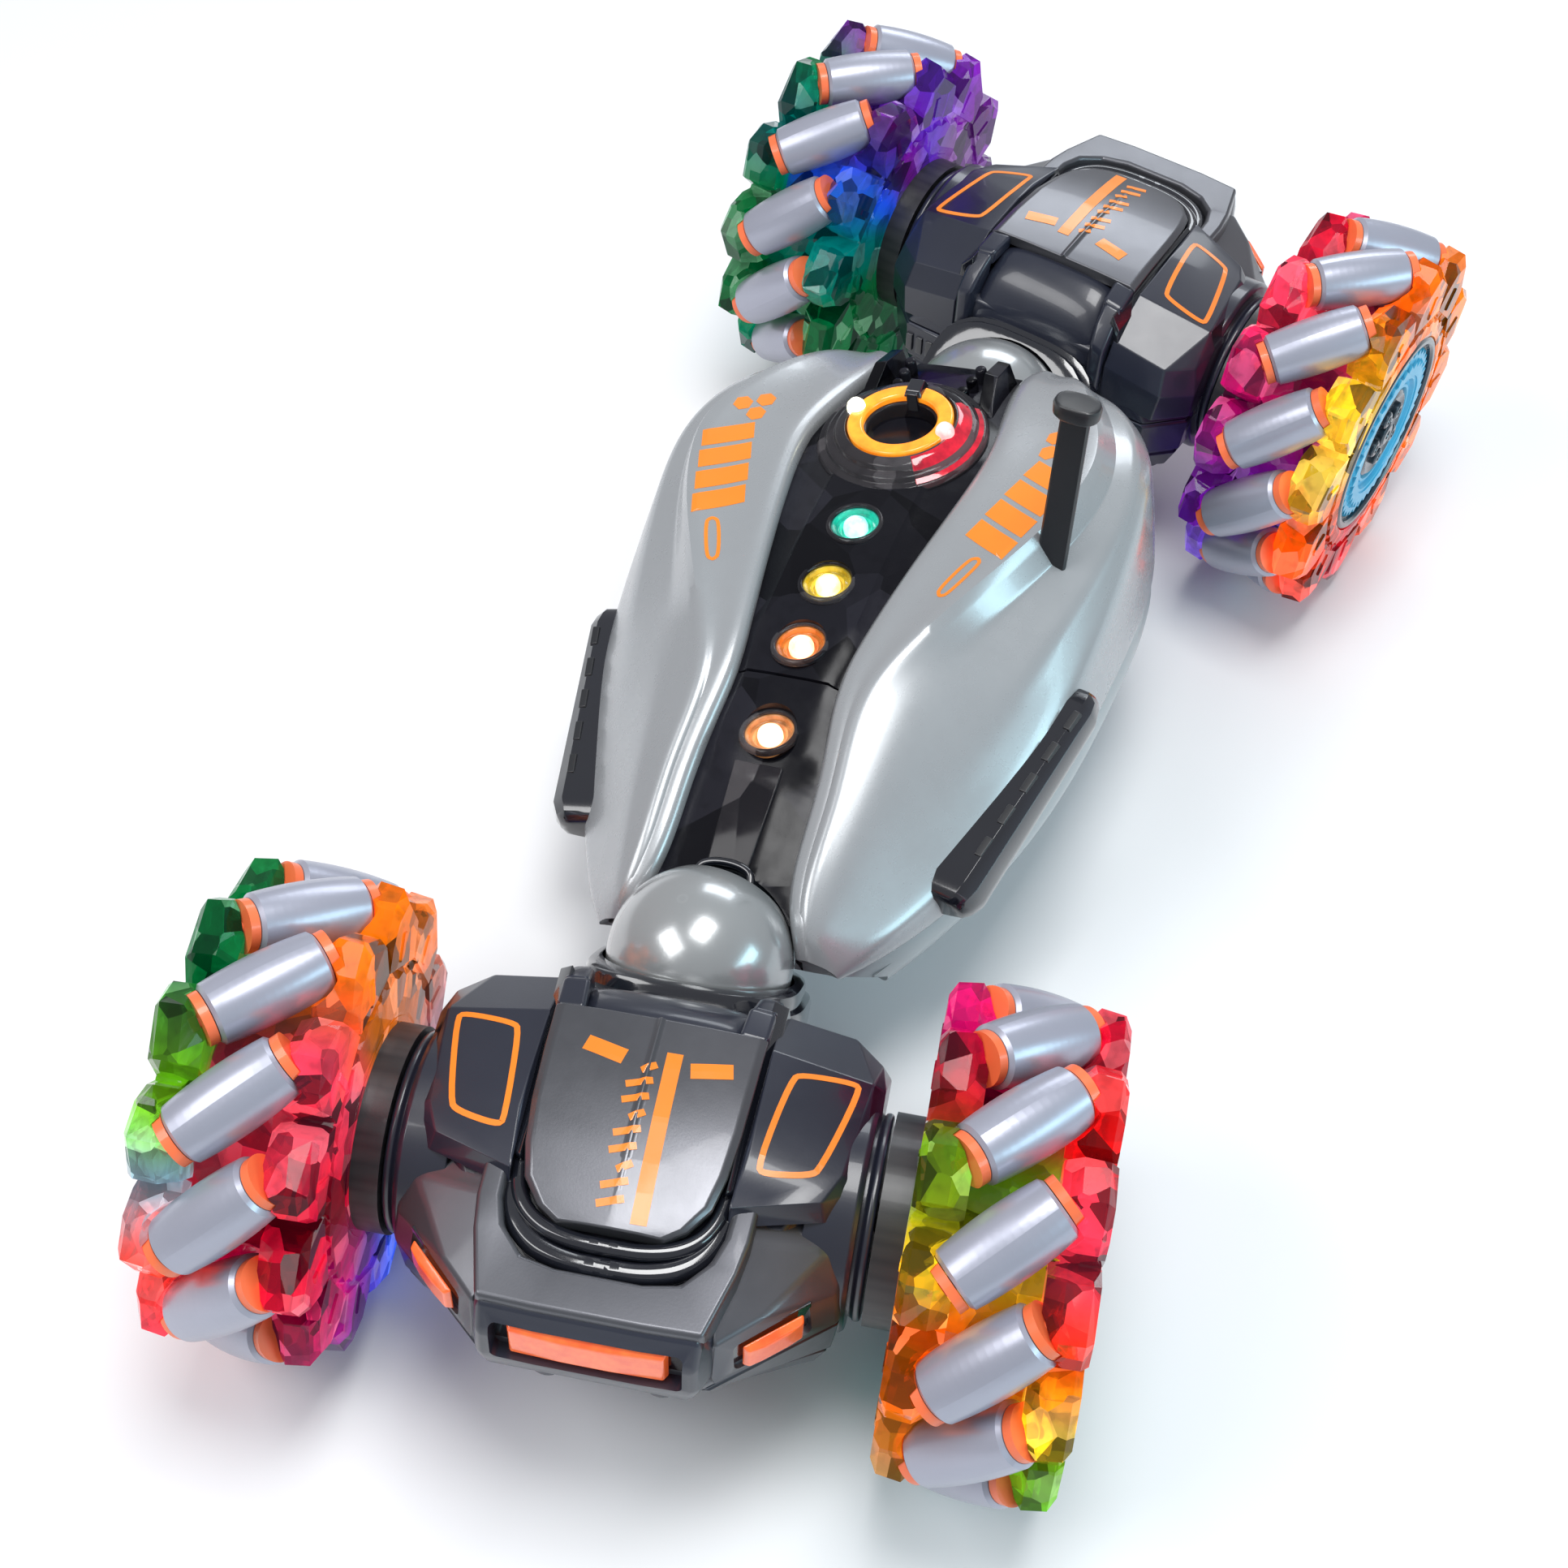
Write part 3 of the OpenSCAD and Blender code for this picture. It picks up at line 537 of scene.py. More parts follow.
def ring_shape(outer):
    bm = bmesh.new()
    s = 1 if outer else -1
    for i in range(ROLLERS):
        claw(bm, TAU * i / ROLLERS - s * CLAW_TURN, s * CLAW_IN, s * HALF)
    if outer:
        face_disc(bm, 1, 28.35, 14.2, 19.0)
        faceted_band(bm, 10.6, 17.0)
    else:
        face_disc(bm, -1, 23.0, -15.5, -19.0)
        faceted_band(bm, -17.0, 10.15)
        lathe(bm, [(6.0, -19.0), (23.4, -19.0), (23.4, -16.4), (8.2, -16.4), (8.2, 12.0), (3.1, 12.0),
                   (3.1, -19.0)], 48)
    bm.transform(ALONG_Y)
    return cut(tool(bm, Matrix.Identity(4)), [roller_rooms()])


def stops_color(stops, angle):
    """Colour at an angle from (angle, colour) stops round the wheel, in linear values."""
    stops = sorted(stops)
    stops = [(stops[-1][0] - 360, stops[-1][1])] + stops + [(stops[0][0] + 360, stops[0][1])]
    for (a, c), (b, d) in zip(stops, stops[1:]):
        if a <= angle <= b:
            f = (angle - a) / (b - a)
            f = f * f * (3 - 2 * f)
            return [c[k] * (1 - f) + d[k] * f for k in range(3)]
    return stops[0][1]


RED, CRIMSON, PINK = (0.90, 0.02, 0.02), (0.70, 0.005, 0.06), (1.0, 0.12, 0.22)
MAGENTA, PURPLE, VIOLET = (0.70, 0.01, 0.25), (0.30, 0.02, 0.45), (0.20, 0.05, 0.60)
BLUE, TEAL, GREEN = (0.03, 0.16, 0.75), (0.0, 0.32, 0.30), (0.0, 0.26, 0.08)
LIME, YELLOW, AMBER = (0.30, 0.62, 0.02), (1.0, 0.72, 0.04), (0.85, 0.30, 0.01)
ORANGE, FLAME, PALE = (1.0, 0.25, 0.01), (1.0, 0.10, 0.01), (0.55, 0.75, 0.85)
# Light colours round each ring; the angle is 0 towards the car's front and 90 upwards
GLOW = {
    "front_right_outer": [(130, GREEN), (95, GREEN), (55, LIME), (35, PALE), (10, FLAME), (-20, PINK), (-60, RED)],
    "front_right_inner": [(140, AMBER), (100, AMBER), (70, PINK), (20, CRIMSON), (-25, MAGENTA), (-50, PURPLE),
                          (-80, BLUE)],
    "front_left_inner": [(130, MAGENTA), (100, CRIMSON), (75, LIME), (50, YELLOW), (25, ORANGE), (0, AMBER),
                         (-30, GREEN), (-70, TEAL)],
    "front_left_outer": [(130, CRIMSON), (95, RED), (60, PINK), (35, FLAME), (12, YELLOW), (-10, LIME), (-45, GREEN)],
    "rear_left_inner": [(150, MAGENTA), (110, CRIMSON), (75, PINK), (40, MAGENTA), (0, PURPLE), (-40, VIOLET)],
    "rear_left_outer": [(170, AMBER), (120, AMBER), (85, ORANGE), (50, YELLOW), (20, YELLOW), (-5, ORANGE),
                        (-35, FLAME), (-70, CRIMSON), (-120, ORANGE)],
    "rear_right_outer": [(140, VIOLET), (112, PURPLE), (90, GREEN), (60, TEAL), (30, GREEN), (-20, GREEN), (-60, TEAL)],
    "rear_right_inner": [(140, PURPLE), (100, VIOLET), (75, PURPLE), (50, BLUE), (25, TEAL), (-10, GREEN),
                         (-50, GREEN)],
}


def crystal_ring(shape, end, hand, side):
    wheel = "%s_%s_" % (end, hand)
    mesh = shape.data.copy()
    place = wheel_frame(end, hand)
    local = MODULE[end].inverted() @ place
    forward = 1 if end == "front" else -1
    tint = mesh.color_attributes.new("tint", "FLOAT_COLOR", "POINT")
    for v, out in zip(mesh.vertices, tint.data):
        p = local @ v.co
        angle = math.degrees(math.atan2(p.z, p.x * forward))
        c = stops_color(GLOW[wheel + side], angle)
        r = math.hypot(p.x, p.z)
        k = 0.8 + 0.3 * min(1, max(0, (r - 30) / 19))
        out.color = (*[min(1, x * k) for x in c], 1)
    mesh.transform(place)
    mesh.materials.clear()
    mesh.materials.append(M["crystal"])
    give(link_object(wheel + side + "_crystal", mesh), wheel + "wheel", wheel + side + "_ring")


def saw_ring(bm, inner, outer, low, high, teeth):
    """Flat ring whose outer edge is a saw blade."""
    count = teeth * 2

    def ring(r, h, saw=0.0):
        return [polar(r + (saw if i % 2 else 0), TAU * (i + 0.25 * (i % 2)) / count, h) for i in range(count)]

    merge_loft(bm, [ring(inner, low), ring(outer, low, 2.4), ring(outer - 0.2, high, 1.6), ring(inner + 0.2, high)])


def hub_cap(end, hand):
    """Hub cap of three pieces: dark rim, blue saw-toothed ring, and the lug centre."""
    wheel = "%s_%s_" % (end, hand)
    place = wheel_frame(end, hand) @ ALONG_Y
    turned(wheel + "hub_rim", [(24.2, 16.2), (28.0, 16.2), (28.0, 18.6), (27.4, 19.1), (26.2, 19.1), (25.7, 18.4),
                               (25.7, 17.3), (24.2, 17.3)], 96,
           place, wheel + "wheel", "hub_dark", "hub_cyan", bevel=0.15, steps=2)
    bm = bmesh.new()
    saw_ring(bm, 20.5, 23.0, 16.6, 18.3, 40)
    saw_ring(bm, 17.0, 20.0, 17.9, 19.1, 36)
    lathe(bm, [(0.5, 16.1), (25.6, 16.1), (25.6, 17.2), (17.6, 17.2), (17.2, 18.7), (16.2, 18.7),
               (15.6, 17.4), (14.6, 17.4), (14.2, 18.0), (13.4, 18.0), (12.9, 16.9), (0.5, 16.9)], 96)
    finish_mesh(wheel + "hub_blue", bm, place, wheel + "wheel", "hub_cyan", "hub_cyan", wheel + "hub_cap",
                bevel=0.12, steps=2, smooth=False)
    bm = bmesh.new()
    lathe(bm, [(0.01, 16.8), (12.6, 16.8), (12.6, 17.6), (11.6, 18.2), (10.6, 17.7), (9.2, 17.4), (0.01, 17.4)], 64)
    for i in range(5):
        a = TAU * i / 5
        solid_lathe(bm, [(0, 17.0), (2.5, 17.0), (2.4, 18.6), (1.9, 19.0), (1.2, 19.0), (0.9, 18.4), (0, 18.4)], 20,
                    Matrix.Translation((7.0 * math.cos(a), 7.0 * math.sin(a), 0)))
        hull(bm, [polar(r, a, h, t) for r, t, h in (
            (1, -1.4, 17), (1, 1.4, 17), (6, -1.1, 17), (6, 1.1, 17),
            (1, -0.9, 18.5), (1, 0.9, 18.5), (6, -0.7, 18.2), (6, 0.7, 18.2))])
    solid_lathe(bm, [(0, 17.0), (3.6, 17.0), (3.5, 18.7), (2.8, 19.2), (1.4, 19.2), (1.1, 18.7), (0, 18.7)], 32)
    finish_mesh(wheel + "hub_lugs", bm, place, wheel + "wheel", "hub_dark", "hub_cyan", bevel=0.12, steps=2)


outer_shape, inner_shape = ring_shape(True), ring_shape(False)
for end in ("front", "rear"):
    for hand in ("left", "right"):
        crystal_ring(outer_shape, end, hand, "outer")
        crystal_ring(inner_shape, end, hand, "inner")
        hub_cap(end, hand)
bpy.data.objects.remove(outer_shape)
bpy.data.objects.remove(inner_shape)

# ------------------------------------------------------------------ body

# From the rear to the front: x, then (y, z) of the edge beside the spine, the deck's ridge,
# the valley, the outer ridge, the cheek and the lower edge
PANEL = [
    (-86, (21.6, 24), (28.5, 23), (31, 21), (33, 18), (35, 14), (36, 0)),
    (-80, (20.6, 27), (33, 28.5), (36.0, 25.5), (39.5, 23.5), (42.5, 19), (43, -3)),
    (-70, (21.2, 30), (39, 32.8), (43, 29.2), (48, 28), (51.5, 23.5), (51.5, -4)),
    (-56, (23.8, 33), (46.5, 35.2), (50.5, 31), (55.5, 30), (58.6, 26), (58, -4.5)),
    (-42, (26, 34.8), (50.5, 36.6), (54.0, 31), (59, 29), (61, 25), (60, -5)),
    (-28, (24.8, 34.8), (49, 36.8), (52, 29.4), (58.8, 25.8), (61, 20.5), (60, -5.5)),
    (-12, (22.2, 34.2), (43.5, 36.0), (46.8, 28.0), (56.2, 23.0), (60.4, 16), (59.5, -6)),
    (4, (19.4, 32.8), (35.5, 34.6), (40.5, 27.2), (52.6, 20.8), (59, 12.4), (58.5, -6.8)),
    (20, (16.6, 30.4), (27.4, 32.0), (34.5, 26.6), (48.6, 17.6), (57, 8.6), (56.5, -8)),
    (33, (14.6, 27.4), (20.8, 28.9), (30.5, 24.9), (45, 14.4), (54, 4.6), (53.8, -8.6)),
    (45, (16.0, 22.8), (19.8, 24.3), (29, 20.9), (41, 10.8), (50.6, 1.6), (50.4, -9)),
    (58, (17.6, 17), (21.4, 18.6), (28.6, 15.6), (37.5, 7), (46.4, -1.4), (46, -8.6)),
    (72, (17.2, 11.2), (20.8, 12.8), (26, 10.6), (32.5, 4.2), (39.4, -2.6), (39.4, -7.6)),
    (82, (18.6, 6.8), (21, 7.8), (24.6, 5.8), (29.0, 1.4), (33.4, -3.2), (33.4, -6.6)),
    (87, (21.2, 3.8), (22.6, 4.2), (24.6, 2.8), (27.0, -0.2), (29.4, -3.4), (29.4, -5.8)),
    (89, (21.8, -1.5), (22.8, -1.2), (24.4, -1.8), (26.2, -3), (27.8, -4.6), (27.8, -6)),
]


def row_at(x):
    for a, b in zip(PANEL, PANEL[1:]):
        if a[0] <= x <= b[0]:
            f = (x - a[0]) / (b[0] - a[0])
            return [x] + [tuple(p[k] * (1 - f) + q[k] * f for k in (0, 1)) for p, q in zip(a[1:], b[1:])]
    return list(PANEL[0] if x < PANEL[0][0] else PANEL[-1])


def edge_at(x):
    return row_at(x)[1]


BALL = 21.25            # radius of the room for a ball dome


def twist_rooms():
    """What a twisting module sweeps at each end of the body, and the two ball domes."""
    profile = [(0, -0.8), (43.95, -0.8), (46.95, 4), (53, 4), (56, -6), (60, -11.5), (66, -14.5), (106, -14.5),
               (150, 20), (150, 90), (0, 90)]
    gap = (at("front_twist") - at("rear_twist")).length * 1000 / 2
    tools = []
    for end in (1, -1):
        place = Matrix.Translation((end * gap, 0, 0)) @ Matrix.Rotation(end * SLANT, 4, "Y")
        bm = bmesh.new()
        solid_lathe(bm, profile, 96, place)
        tools.append(tool(bm, BODY))
        bm = bmesh.new()
        bmesh.ops.create_uvsphere(bm, u_segments=64, v_segments=40, radius=BALL,
                                  matrix=Matrix.Translation((end * gap, 0, 0)))
        tools.append(tool(bm, BODY))
    return tools


def carve(obj, cutters, mat, degrees, node=None):
    """Cuts a body piece and gives it its material and shading."""
    cut(obj, cutters)
    obj.data.materials.clear()
    obj.data.materials.append(M[mat])
    soften(obj, degrees)
    return give(obj, "body", node)


def side_panel(hand):
    s = 1 if hand == "left" else -1
    bm = bmesh.new()
    rows = []
    for x, edge, ridge, valley, outer, cheek, low in PANEL:
        section = [(edge[0], edge[1] - 5), edge, (edge[0] + 1.6, edge[1] + 0.5),
                   ((edge[0] + ridge[0]) / 2 + 0.8, (edge[1] + ridge[1]) / 2 - 0.4), ridge, valley, outer, cheek,
                   ((cheek[0] + low[0]) / 2 + 0.5, (cheek[1] + low[1]) / 2), low, (low[0] - 2.2, low[1] - 0.2)]
        rows.append([bm.verts.new((x, s * y, z)) for y, z in section])
    for a, b in zip(rows, rows[1:]):
        for i in range(len(a) - 1):
            quad = (a[i], a[i + 1], b[i + 1], b[i])
            bm.faces.new(quad if s > 0 else tuple(reversed(quad)))
    layer = bm.edges.layers.float.new("crease_edge")
    sharp = {0: 1, 1: 0.9, 2: 0.3, 4: 1, 5: 0.5, 6: 0.85, 7: 0.35, 9: 0.9, 10: 1}
    for e in bm.edges:
        for i, value in sharp.items():
            if all(any(v is row[i] for row in rows) for v in e.verts):
                e[layer] = value * (0.45 if i in (4, 5, 6) and max(v.co.x for v in e.verts) > 24 else 1)
    mesh = bpy.data.meshes.new(hand + "_shell")
    bm.to_mesh(mesh)
    bm.free()
    mesh.transform(BODY)
    obj = link_object(hand + "_shell", mesh)
    round_off(obj, 3)
    m = obj.modifiers.new("wall", "SOLIDIFY")
    m.thickness, m.offset = 2.2 * MM, -1
    return carve(obj, twist_rooms(), "panel_silver", 38, hand + "_panel")


def skirt():
    """Smooth rounded hull wall under the side panels."""
    levels = [(-1.0, 3.0), (-5.0, 1.6), (-9.0, -0.6), (-15, -0.9), (-20, 0.6), (-23.6, 4.6), (-25.6, 11.5)]
    outer = []
    for z, inset in levels:
        half = [(x, max(8.0, row_at(x)[6][0] - inset)) for x in list(range(-80, 84, 8)) + [87, 91]]
        outer.append([(x, y, z) for x, y in half] + [(x, -y, z) for x, y in reversed(half)])
    inner = [[(x * 0.985, y - math.copysign(2.0, y), z) for x, y, z in ring] for ring in reversed(outer)]
    bm = bmesh.new()
    loft(bm, outer + inner, closed=True)
    obj = place_mesh("hull_skirt", bm, BODY)
    round_off(obj, 2)
    bm = bmesh.new()
    hull(bm, [(x, y, z) for y in (-60, 60) for x, z in ((-110, -10.5), (-71, -10.5), (-56, -32), (-110, -32))])
    carve(obj, twist_rooms() + [tool(bm, BODY)], "hull_grey", 40)


def spine_strip(name, x0, x1, channel=False):
    """One part of the smoked strip between the panels, with a step along both edges."""
    count = int((x1 - x0) / 2)
    rings = []
    for k in range(count + 1):
        x = x0 + (x1 - x0) * k / count
        y, z = edge_at(x)
        y -= 0.35
        w = min(y - 4.2, 11.5)
        if channel:
            f = min(1, max(0, (x - 50) / 8))
            w = min(w, 12.0 - 4.5 * f)
        rise = 0.9 if not channel else 0.5
        top = [(-y, z - 1.9), (-y + 1.4, z - 1.1), (-w - 1.6, z - 0.9 + rise * 0.3), (-w, z - 0.3 + rise),
               (-w * 0.5, z + rise * 0.9), (w * 0.5, z + rise * 0.9), (w, z - 0.3 + rise),
               (w + 1.6, z - 0.9 + rise * 0.3), (y - 1.4, z - 1.1), (y, z - 1.9)]
        under = [(y - 0.2, z - 4.6), (y - 2.4, z - 4.4), (2.4 - y, z - 4.4), (0.2 - y, z - 4.6)]
        rings.append([(x, yy, zz) for yy, zz in top + under])
    return place_mesh(name, skin(rings), BODY)


LIGHTS = [(-12, (0.02, 0.75, 0.55), "teal"), (7, (1.0, 0.72, 0.03), "yellow"), (25, (1.0, 0.30, 0.04), "orange"),
          (47, (1.0, 0.42, 0.14), "warm")]
RING_X = -45


def spine_top(x):
    return edge_at(x)[1] + 0.8


def well(x, r, depth):
    part = bmesh.new()
    z = spine_top(x)
    solid_lathe(part, [(0, z - depth), (r * 0.72, z - depth), (r, z - depth * 0.35), (r, z + 9), (0, z + 9)], 48,
                Matrix.Translation((x, 0, 0)))
    return tool(part, BODY)


def spine():
    cover = spine_strip("spine_smoke", -86, 33.8)
    bm = bmesh.new()
    for s in (1, -1):
        # Raised fins beside the turret
        hull(bm, [(x, s * y, z) for x, y, z in (
            (-82, 12.5, 24), (-82, 17, 24), (-80, 13, 33.5), (-80, 16.2, 33), (-70, 13.2, 37.2), (-70, 16.6, 36.4),
            (-64, 13.8, 34.6), (-64, 17.2, 34), (-60, 14.4, 31), (-60, 18, 31), (-60, 14, 28), (-82, 13, 22))])
        for k in range(3):
            solid_lathe(bm, [(0, 26), (1.5, 26), (1.5, 33.2), (1.1, 33.7), (0, 33.7)], 20,
                        Matrix.Translation((-76 + 5.5 * k, s * (9.6 - 0.4 * k), k * 0.9)))
    fins = finish_mesh("spine_fins", bm, BODY, "body", "smoke", "smoke", bevel=0.5)
    cut(fins, twist_rooms())
    soften(fins, 40)
    carve(cover, [well(x, 6.2, 3.0) for x, _, _ in LIGHTS[:3]] + twist_rooms(), "smoke", 35, "spine_cover")

    lid = spine_strip("spine_front_lid", 34.2, 90, channel=True)
    bm = bmesh.new()
    za, zb = spine_top(79), spine_top(88)
    hull(bm, [(77, -6.2, za + 3), (77, 6.2, za + 3), (77.6, -5.6, za - 1.9), (77.6, 5.6, za - 1.9),
              (87.5, -7.2, zb + 4), (87.5, 7.2, zb + 4), (87, -6.6, zb - 1.2), (87, 6.6, zb - 1.2)])
    carve(lid, [well(47, 6.6, 3.0), tool(bm, BODY)] + twist_rooms(), "smoke", 35, "spine_lid")

    # Lighter channel down the middle of the lid, and its raised rim round the grip
    rings = []
    for k in range(9):
        x = 54.5 + (77.0 - 54.5) * k / 8
        w = 6.4 - 0.9 * k / 8
        z = spine_top(x)
        rings.append([(x, -w, z - 0.9), (x, -w + 0.5, z + 0.12), (x, w - 0.5, z + 0.12), (x, w, z - 0.9)])
    finish_mesh("lid_channel", skin(rings), BODY, "body", "smoke_clear", "smoke", bevel=0.25, steps=2)
    bm = bmesh.new()
    path = [(88, -7.6), (80, -7.0), (77.5, -5.6), (76.6, 0), (77.5, 5.6), (80, 7.0), (88, 7.6)]
    sweep(bm, [(x, y, spine_top(x) + 0.2) for x, y in smooth_path(path, 4)], 0.95, 10)
    finish_mesh("lid_rim", bm, BODY, "body", "black", "smoke")


def smooth_path(points, times, closed=False):
    """Rounds the corners of a path by cutting them again and again."""
    pts = [Vector(p) for p in points]
    for _ in range(times):
        out = []
        pairs = list(zip(pts, pts[1:])) + ([(pts[-1], pts[0])] if closed else [])
        for a, b in pairs:
            out += [a.lerp(b, 0.25), a.lerp(b, 0.75)]
        pts = out if closed else [pts[0]] + out + [pts[-1]]
    return pts


def sweep(bm, path, radius, sides):
    """Round bar along a path."""
    path = [Vector(p) for p in path]
    rings = []
    for i, p in enumerate(path):
        along = (path[min(i + 1, len(path) - 1)] - path[max(i - 1, 0)]).normalized()
        side = along.cross(Vector((0, 0, 1))).normalized()
        up = side.cross(along)
        rings.append([tuple(p + (side * math.cos(TAU * k / sides) + up * math.sin(TAU * k / sides)) * radius)
                      for k in range(sides)])
    loft(bm, rings)


def lamp(x, color, word):
    """One spine lamp: stepped cup, clear collar and bright dome."""
    place = BODY @ Matrix.Translation((x, 0, spine_top(x)))
    glowing("cup_" + word, shade(color, 0.55), 0.35, 0.12, shade(color, 0.2))
    glowing("dome_" + word, tuple(0.35 + 0.65 * c for c in color), 3.2, 0.1, tuple(0.1 + 0.9 * c for c in color))
    turned("cup_" + word, [(0.3, -3.4), (5.9, -3.4), (6.1, -0.6), (5.3, -0.5), (4.9, -1.9), (4.1, -1.6),
                           (3.7, -2.6), (0.3, -2.6)], 56,
           place, "body", "cup_" + word, "light_lens", bevel=0.15, steps=2)
    turned("rim_" + word, [(5.9, -1.4), (7.3, -1.0), (7.1, -0.1), (6.6, 0.35), (6.0, 0.3), (5.7, -0.3)], 56,
           place, "body", "smoke_clear", "light_lens", bevel=0.12, steps=2)
    turned("dome_" + word, [(0, -3.2), (2.9, -3.2), (3.0, -1.4), (2.7, -0.3), (1.9, 0.5), (1.0, 0.85), (0, 0.95)], 40,
           place, "body", "dome_" + word, "light_lens", "spine_lights" if word == "teal" else None, solid=True)


def turret():
    place = BODY @ Matrix.Translation((RING_X, 0, spine_top(RING_X) - 1.2))
    base = turned("turret_base", [
        (8.6, -2.4), (21.2, -2.4), (21.6, 0.4), (20.9, 1.5), (19.4, 1.9), (18.9, 3.0), (18.0, 3.5), (16.9, 3.6),
        (16.4, 4.8), (15.2, 5.5), (13.8, 5.8), (13.5, 4.6), (9.0, 4.3), (8.6, 4.0)], 96,
        place, "body", "smoke_clear", "smoke", bevel=0.3)
    cut(base, twist_rooms())
    soften(base, 40)
    turned("turret_ring", [(9.2, 4.4), (13.2, 4.4), (13.3, 5.9), (12.9, 6.4), (9.8, 6.4), (9.2, 5.8)], 96,
           place, "body", "ring_glow", "ring_orange", "ring_light", bevel=0.2, steps=2)
    # The floor inside the ring is smoked plastic drawn glowing white: painted light from the ring's lamps
    turned("turret_floor", [(0, -2.2), (8.4, -2.2), (8.4, -0.6), (4.5, -1.0), (4.2, -0.2), (0, -0.2)], 48,
           place, "body", "white_glow", "smoke", solid=True, bevel=0.15, steps=2)
    bm = bmesh.new()
    hull(bm, [(-14.6, -2.4, 6.0), (-14.6, 2.4, 6.0), (-8.6, -2.4, 6.0), (-8.6, 2.4, 6.0), (-13.6, -1.8, 8.2),
              (-13.6, 1.8, 8.2), (-9.4, -1.8, 7.8), (-9.4, 1.8, 7.8)])
    hull(bm, [(-9.4, -1.5, 2.0), (-9.4, 1.5, 2.0), (-8.2, -1.5, 2.0), (-8.2, 1.5, 2.0), (-9.4, -1.5, 7.4),
              (-9.4, 1.5, 7.4), (-8.2, -1.5, 7.4), (-8.2, 1.5, 7.4)])
    finish_mesh("turret_clip", bm, place, "body", "black", "smoke", bevel=0.35)
    for s, word in ((-1, "white"), (1, "red")):
        turned("turret_led_" + word, [(0, 3.4), (2.3, 3.4), (2.4, 6.2), (2.1, 7.4), (1.3, 8.3), (0, 8.6)], 32,
               place, "body", "led_" + word, "light_lens", solid=True,
               matrix=Matrix.Translation((2.4 * s, s * 12.6, 0)))
    # Red glow on the turret's side next to the red lamp: painted light from that lamp, drawn as a glowing patch on the
    # smoked base
    section = [(14.4, 5.8), (16.0, 5.3), (17.1, 3.9), (19.6, 2.1), (21.1, 1.2), (21.2, 0.2), (16, 0.2)]
    rings = [[polar(r, math.radians(30 + 100 * k / 14), h) for r, h in section] for k in range(15)]
    finish_mesh("turret_red", skin(rings), place, "body", "painted_red_glow", "smoke", bevel=0.2, steps=2)


def step(hand):
    """Gloss step bar along one flank, with five raised dashes."""
    s = 1 if hand == "left" else -1
    rear, front = Vector((6, 61.4, 8.5)), Vector((66, 45.6, -4.0))
    along = (front - rear).normalized()
    out = Vector((-along.y, along.x, 0)).normalized()
    up = along.cross(out)
    length = (front - rear).length
    rings = []
    for t in (0, 0.012, 0.04, 0.09, 0.2, 0.4, 0.6, 0.8, 0.91, 0.96, 0.988, 1):
        d = min(t, 1 - t) * length
        k = min(1.0, 0.45 + 0.55 * math.sqrt(min(1.0, d / 5.0))) * (0.74 + 0.26 * t)
        p = rear + along * t * length
        sec = [(-4.2, -5.4), (3.6 * k, -6.0 * k), (7.2 * k, -4.0 * k), (8.4 * k, 0.2 * k), (7.4 * k, 4.2 * k),
               (4.6 * k, 6.4 * k), (-4.2, 6.0 * k)]
        rings.append([(q.x, s * q.y, q.z) for q in (p + out * a + up * b for a, b in sec)])
    finish_mesh(hand + "_step_bar", skin(rings), BODY, "body", "black", "black", hand + "_step", bevel=0.5)
    bm = bmesh.new()
    for k in range(5):
        t = 0.16 + 0.15 * k
        p = rear + along * t * length + out * 3.4 + up * (5.9 * (0.74 + 0.26 * t))
        hull(bm, [(q.x, s * q.y, q.z) for q in (
            p + along * a + out * b + up * c for a, b, c in (
                (-3.2, -1.2, -1.6), (3.2, -1.2, -1.6), (3.2, 1.4, -1.8), (-3.2, 1.4, -1.8), (-2.6, -0.8, 0.9),
                (2.6, -0.8, 0.9), (2.6, 1.0, 0.7), (-2.6, 1.0, 0.7)))])
    finish_mesh(hand + "_step_dashes", bm, BODY, "body", "satin_black", "black", bevel=0.25, steps=2)


def antenna():
    lo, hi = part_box("antenna")
    foot = Vector(((lo.x + hi.x) / 2, (lo.y + hi.y) / 2, lo.z))
    place = Matrix.Translation(foot) @ Matrix.Scale(MM, 4)
    tall = (hi.z - lo.z) * 1000
    bm = bmesh.new()
    rings = []
    for z, w, t in ((0, 3.6, 1.0), (6, 3.6, 0.95), (tall * 0.5, 3.5, 0.9), (tall - 5, 3.4, 0.9),
                    (tall - 1.6, 3.6, 1.2)):
        rings.append([(-t, -w + 0.5, z), (-t * 0.4, -w, z), (t * 0.4, -w, z), (t, -w + 0.5, z), (t, w - 0.5, z),
                      (t * 0.4, w, z), (-t * 0.4, w, z), (-t, w - 0.5, z)])
    loft(bm, rings)
    rings = []
    for z, k in ((-5.0, 0.62), (-4.4, 0.8), (-3.4, 0.97), (-1.2, 1.0), (-0.3, 0.94), (0, 0.82)):
        rings.append([(4.1 * k * math.cos(TAU * i / 40) * (1 - 0.16 * math.cos(2 * TAU * i / 40)),
                       5.5 * k * math.sin(TAU * i / 40), tall + z) for i in range(40)])
    loft(bm, rings)
    finish_mesh("antenna_blade", bm, place, "body", "satin_black", "antenna_black", "antenna", bevel=0.2, steps=2)


# white_glow: painted light of the turret's ring lamps on the smoked floor inside the ring
glowing("white_glow", (0.85, 0.87, 0.9), 0.25, 0.3, (0.6, 0.65, 0.7))
glowing("led_white", (0.9, 0.97, 1.0), 3.5, 0.15, (1.0, 0.9, 0.35))
glowing("led_red", (1.0, 0.45, 0.42), 1.6, 0.15, (1.0, 0.2, 0.2))
# Painted glow of the red turret lamp on the smoked base round it
glowing("painted_red_glow", (0.70, 0.008, 0.03), 0.22, 0.08, (0.3, 0.0, 0.015))

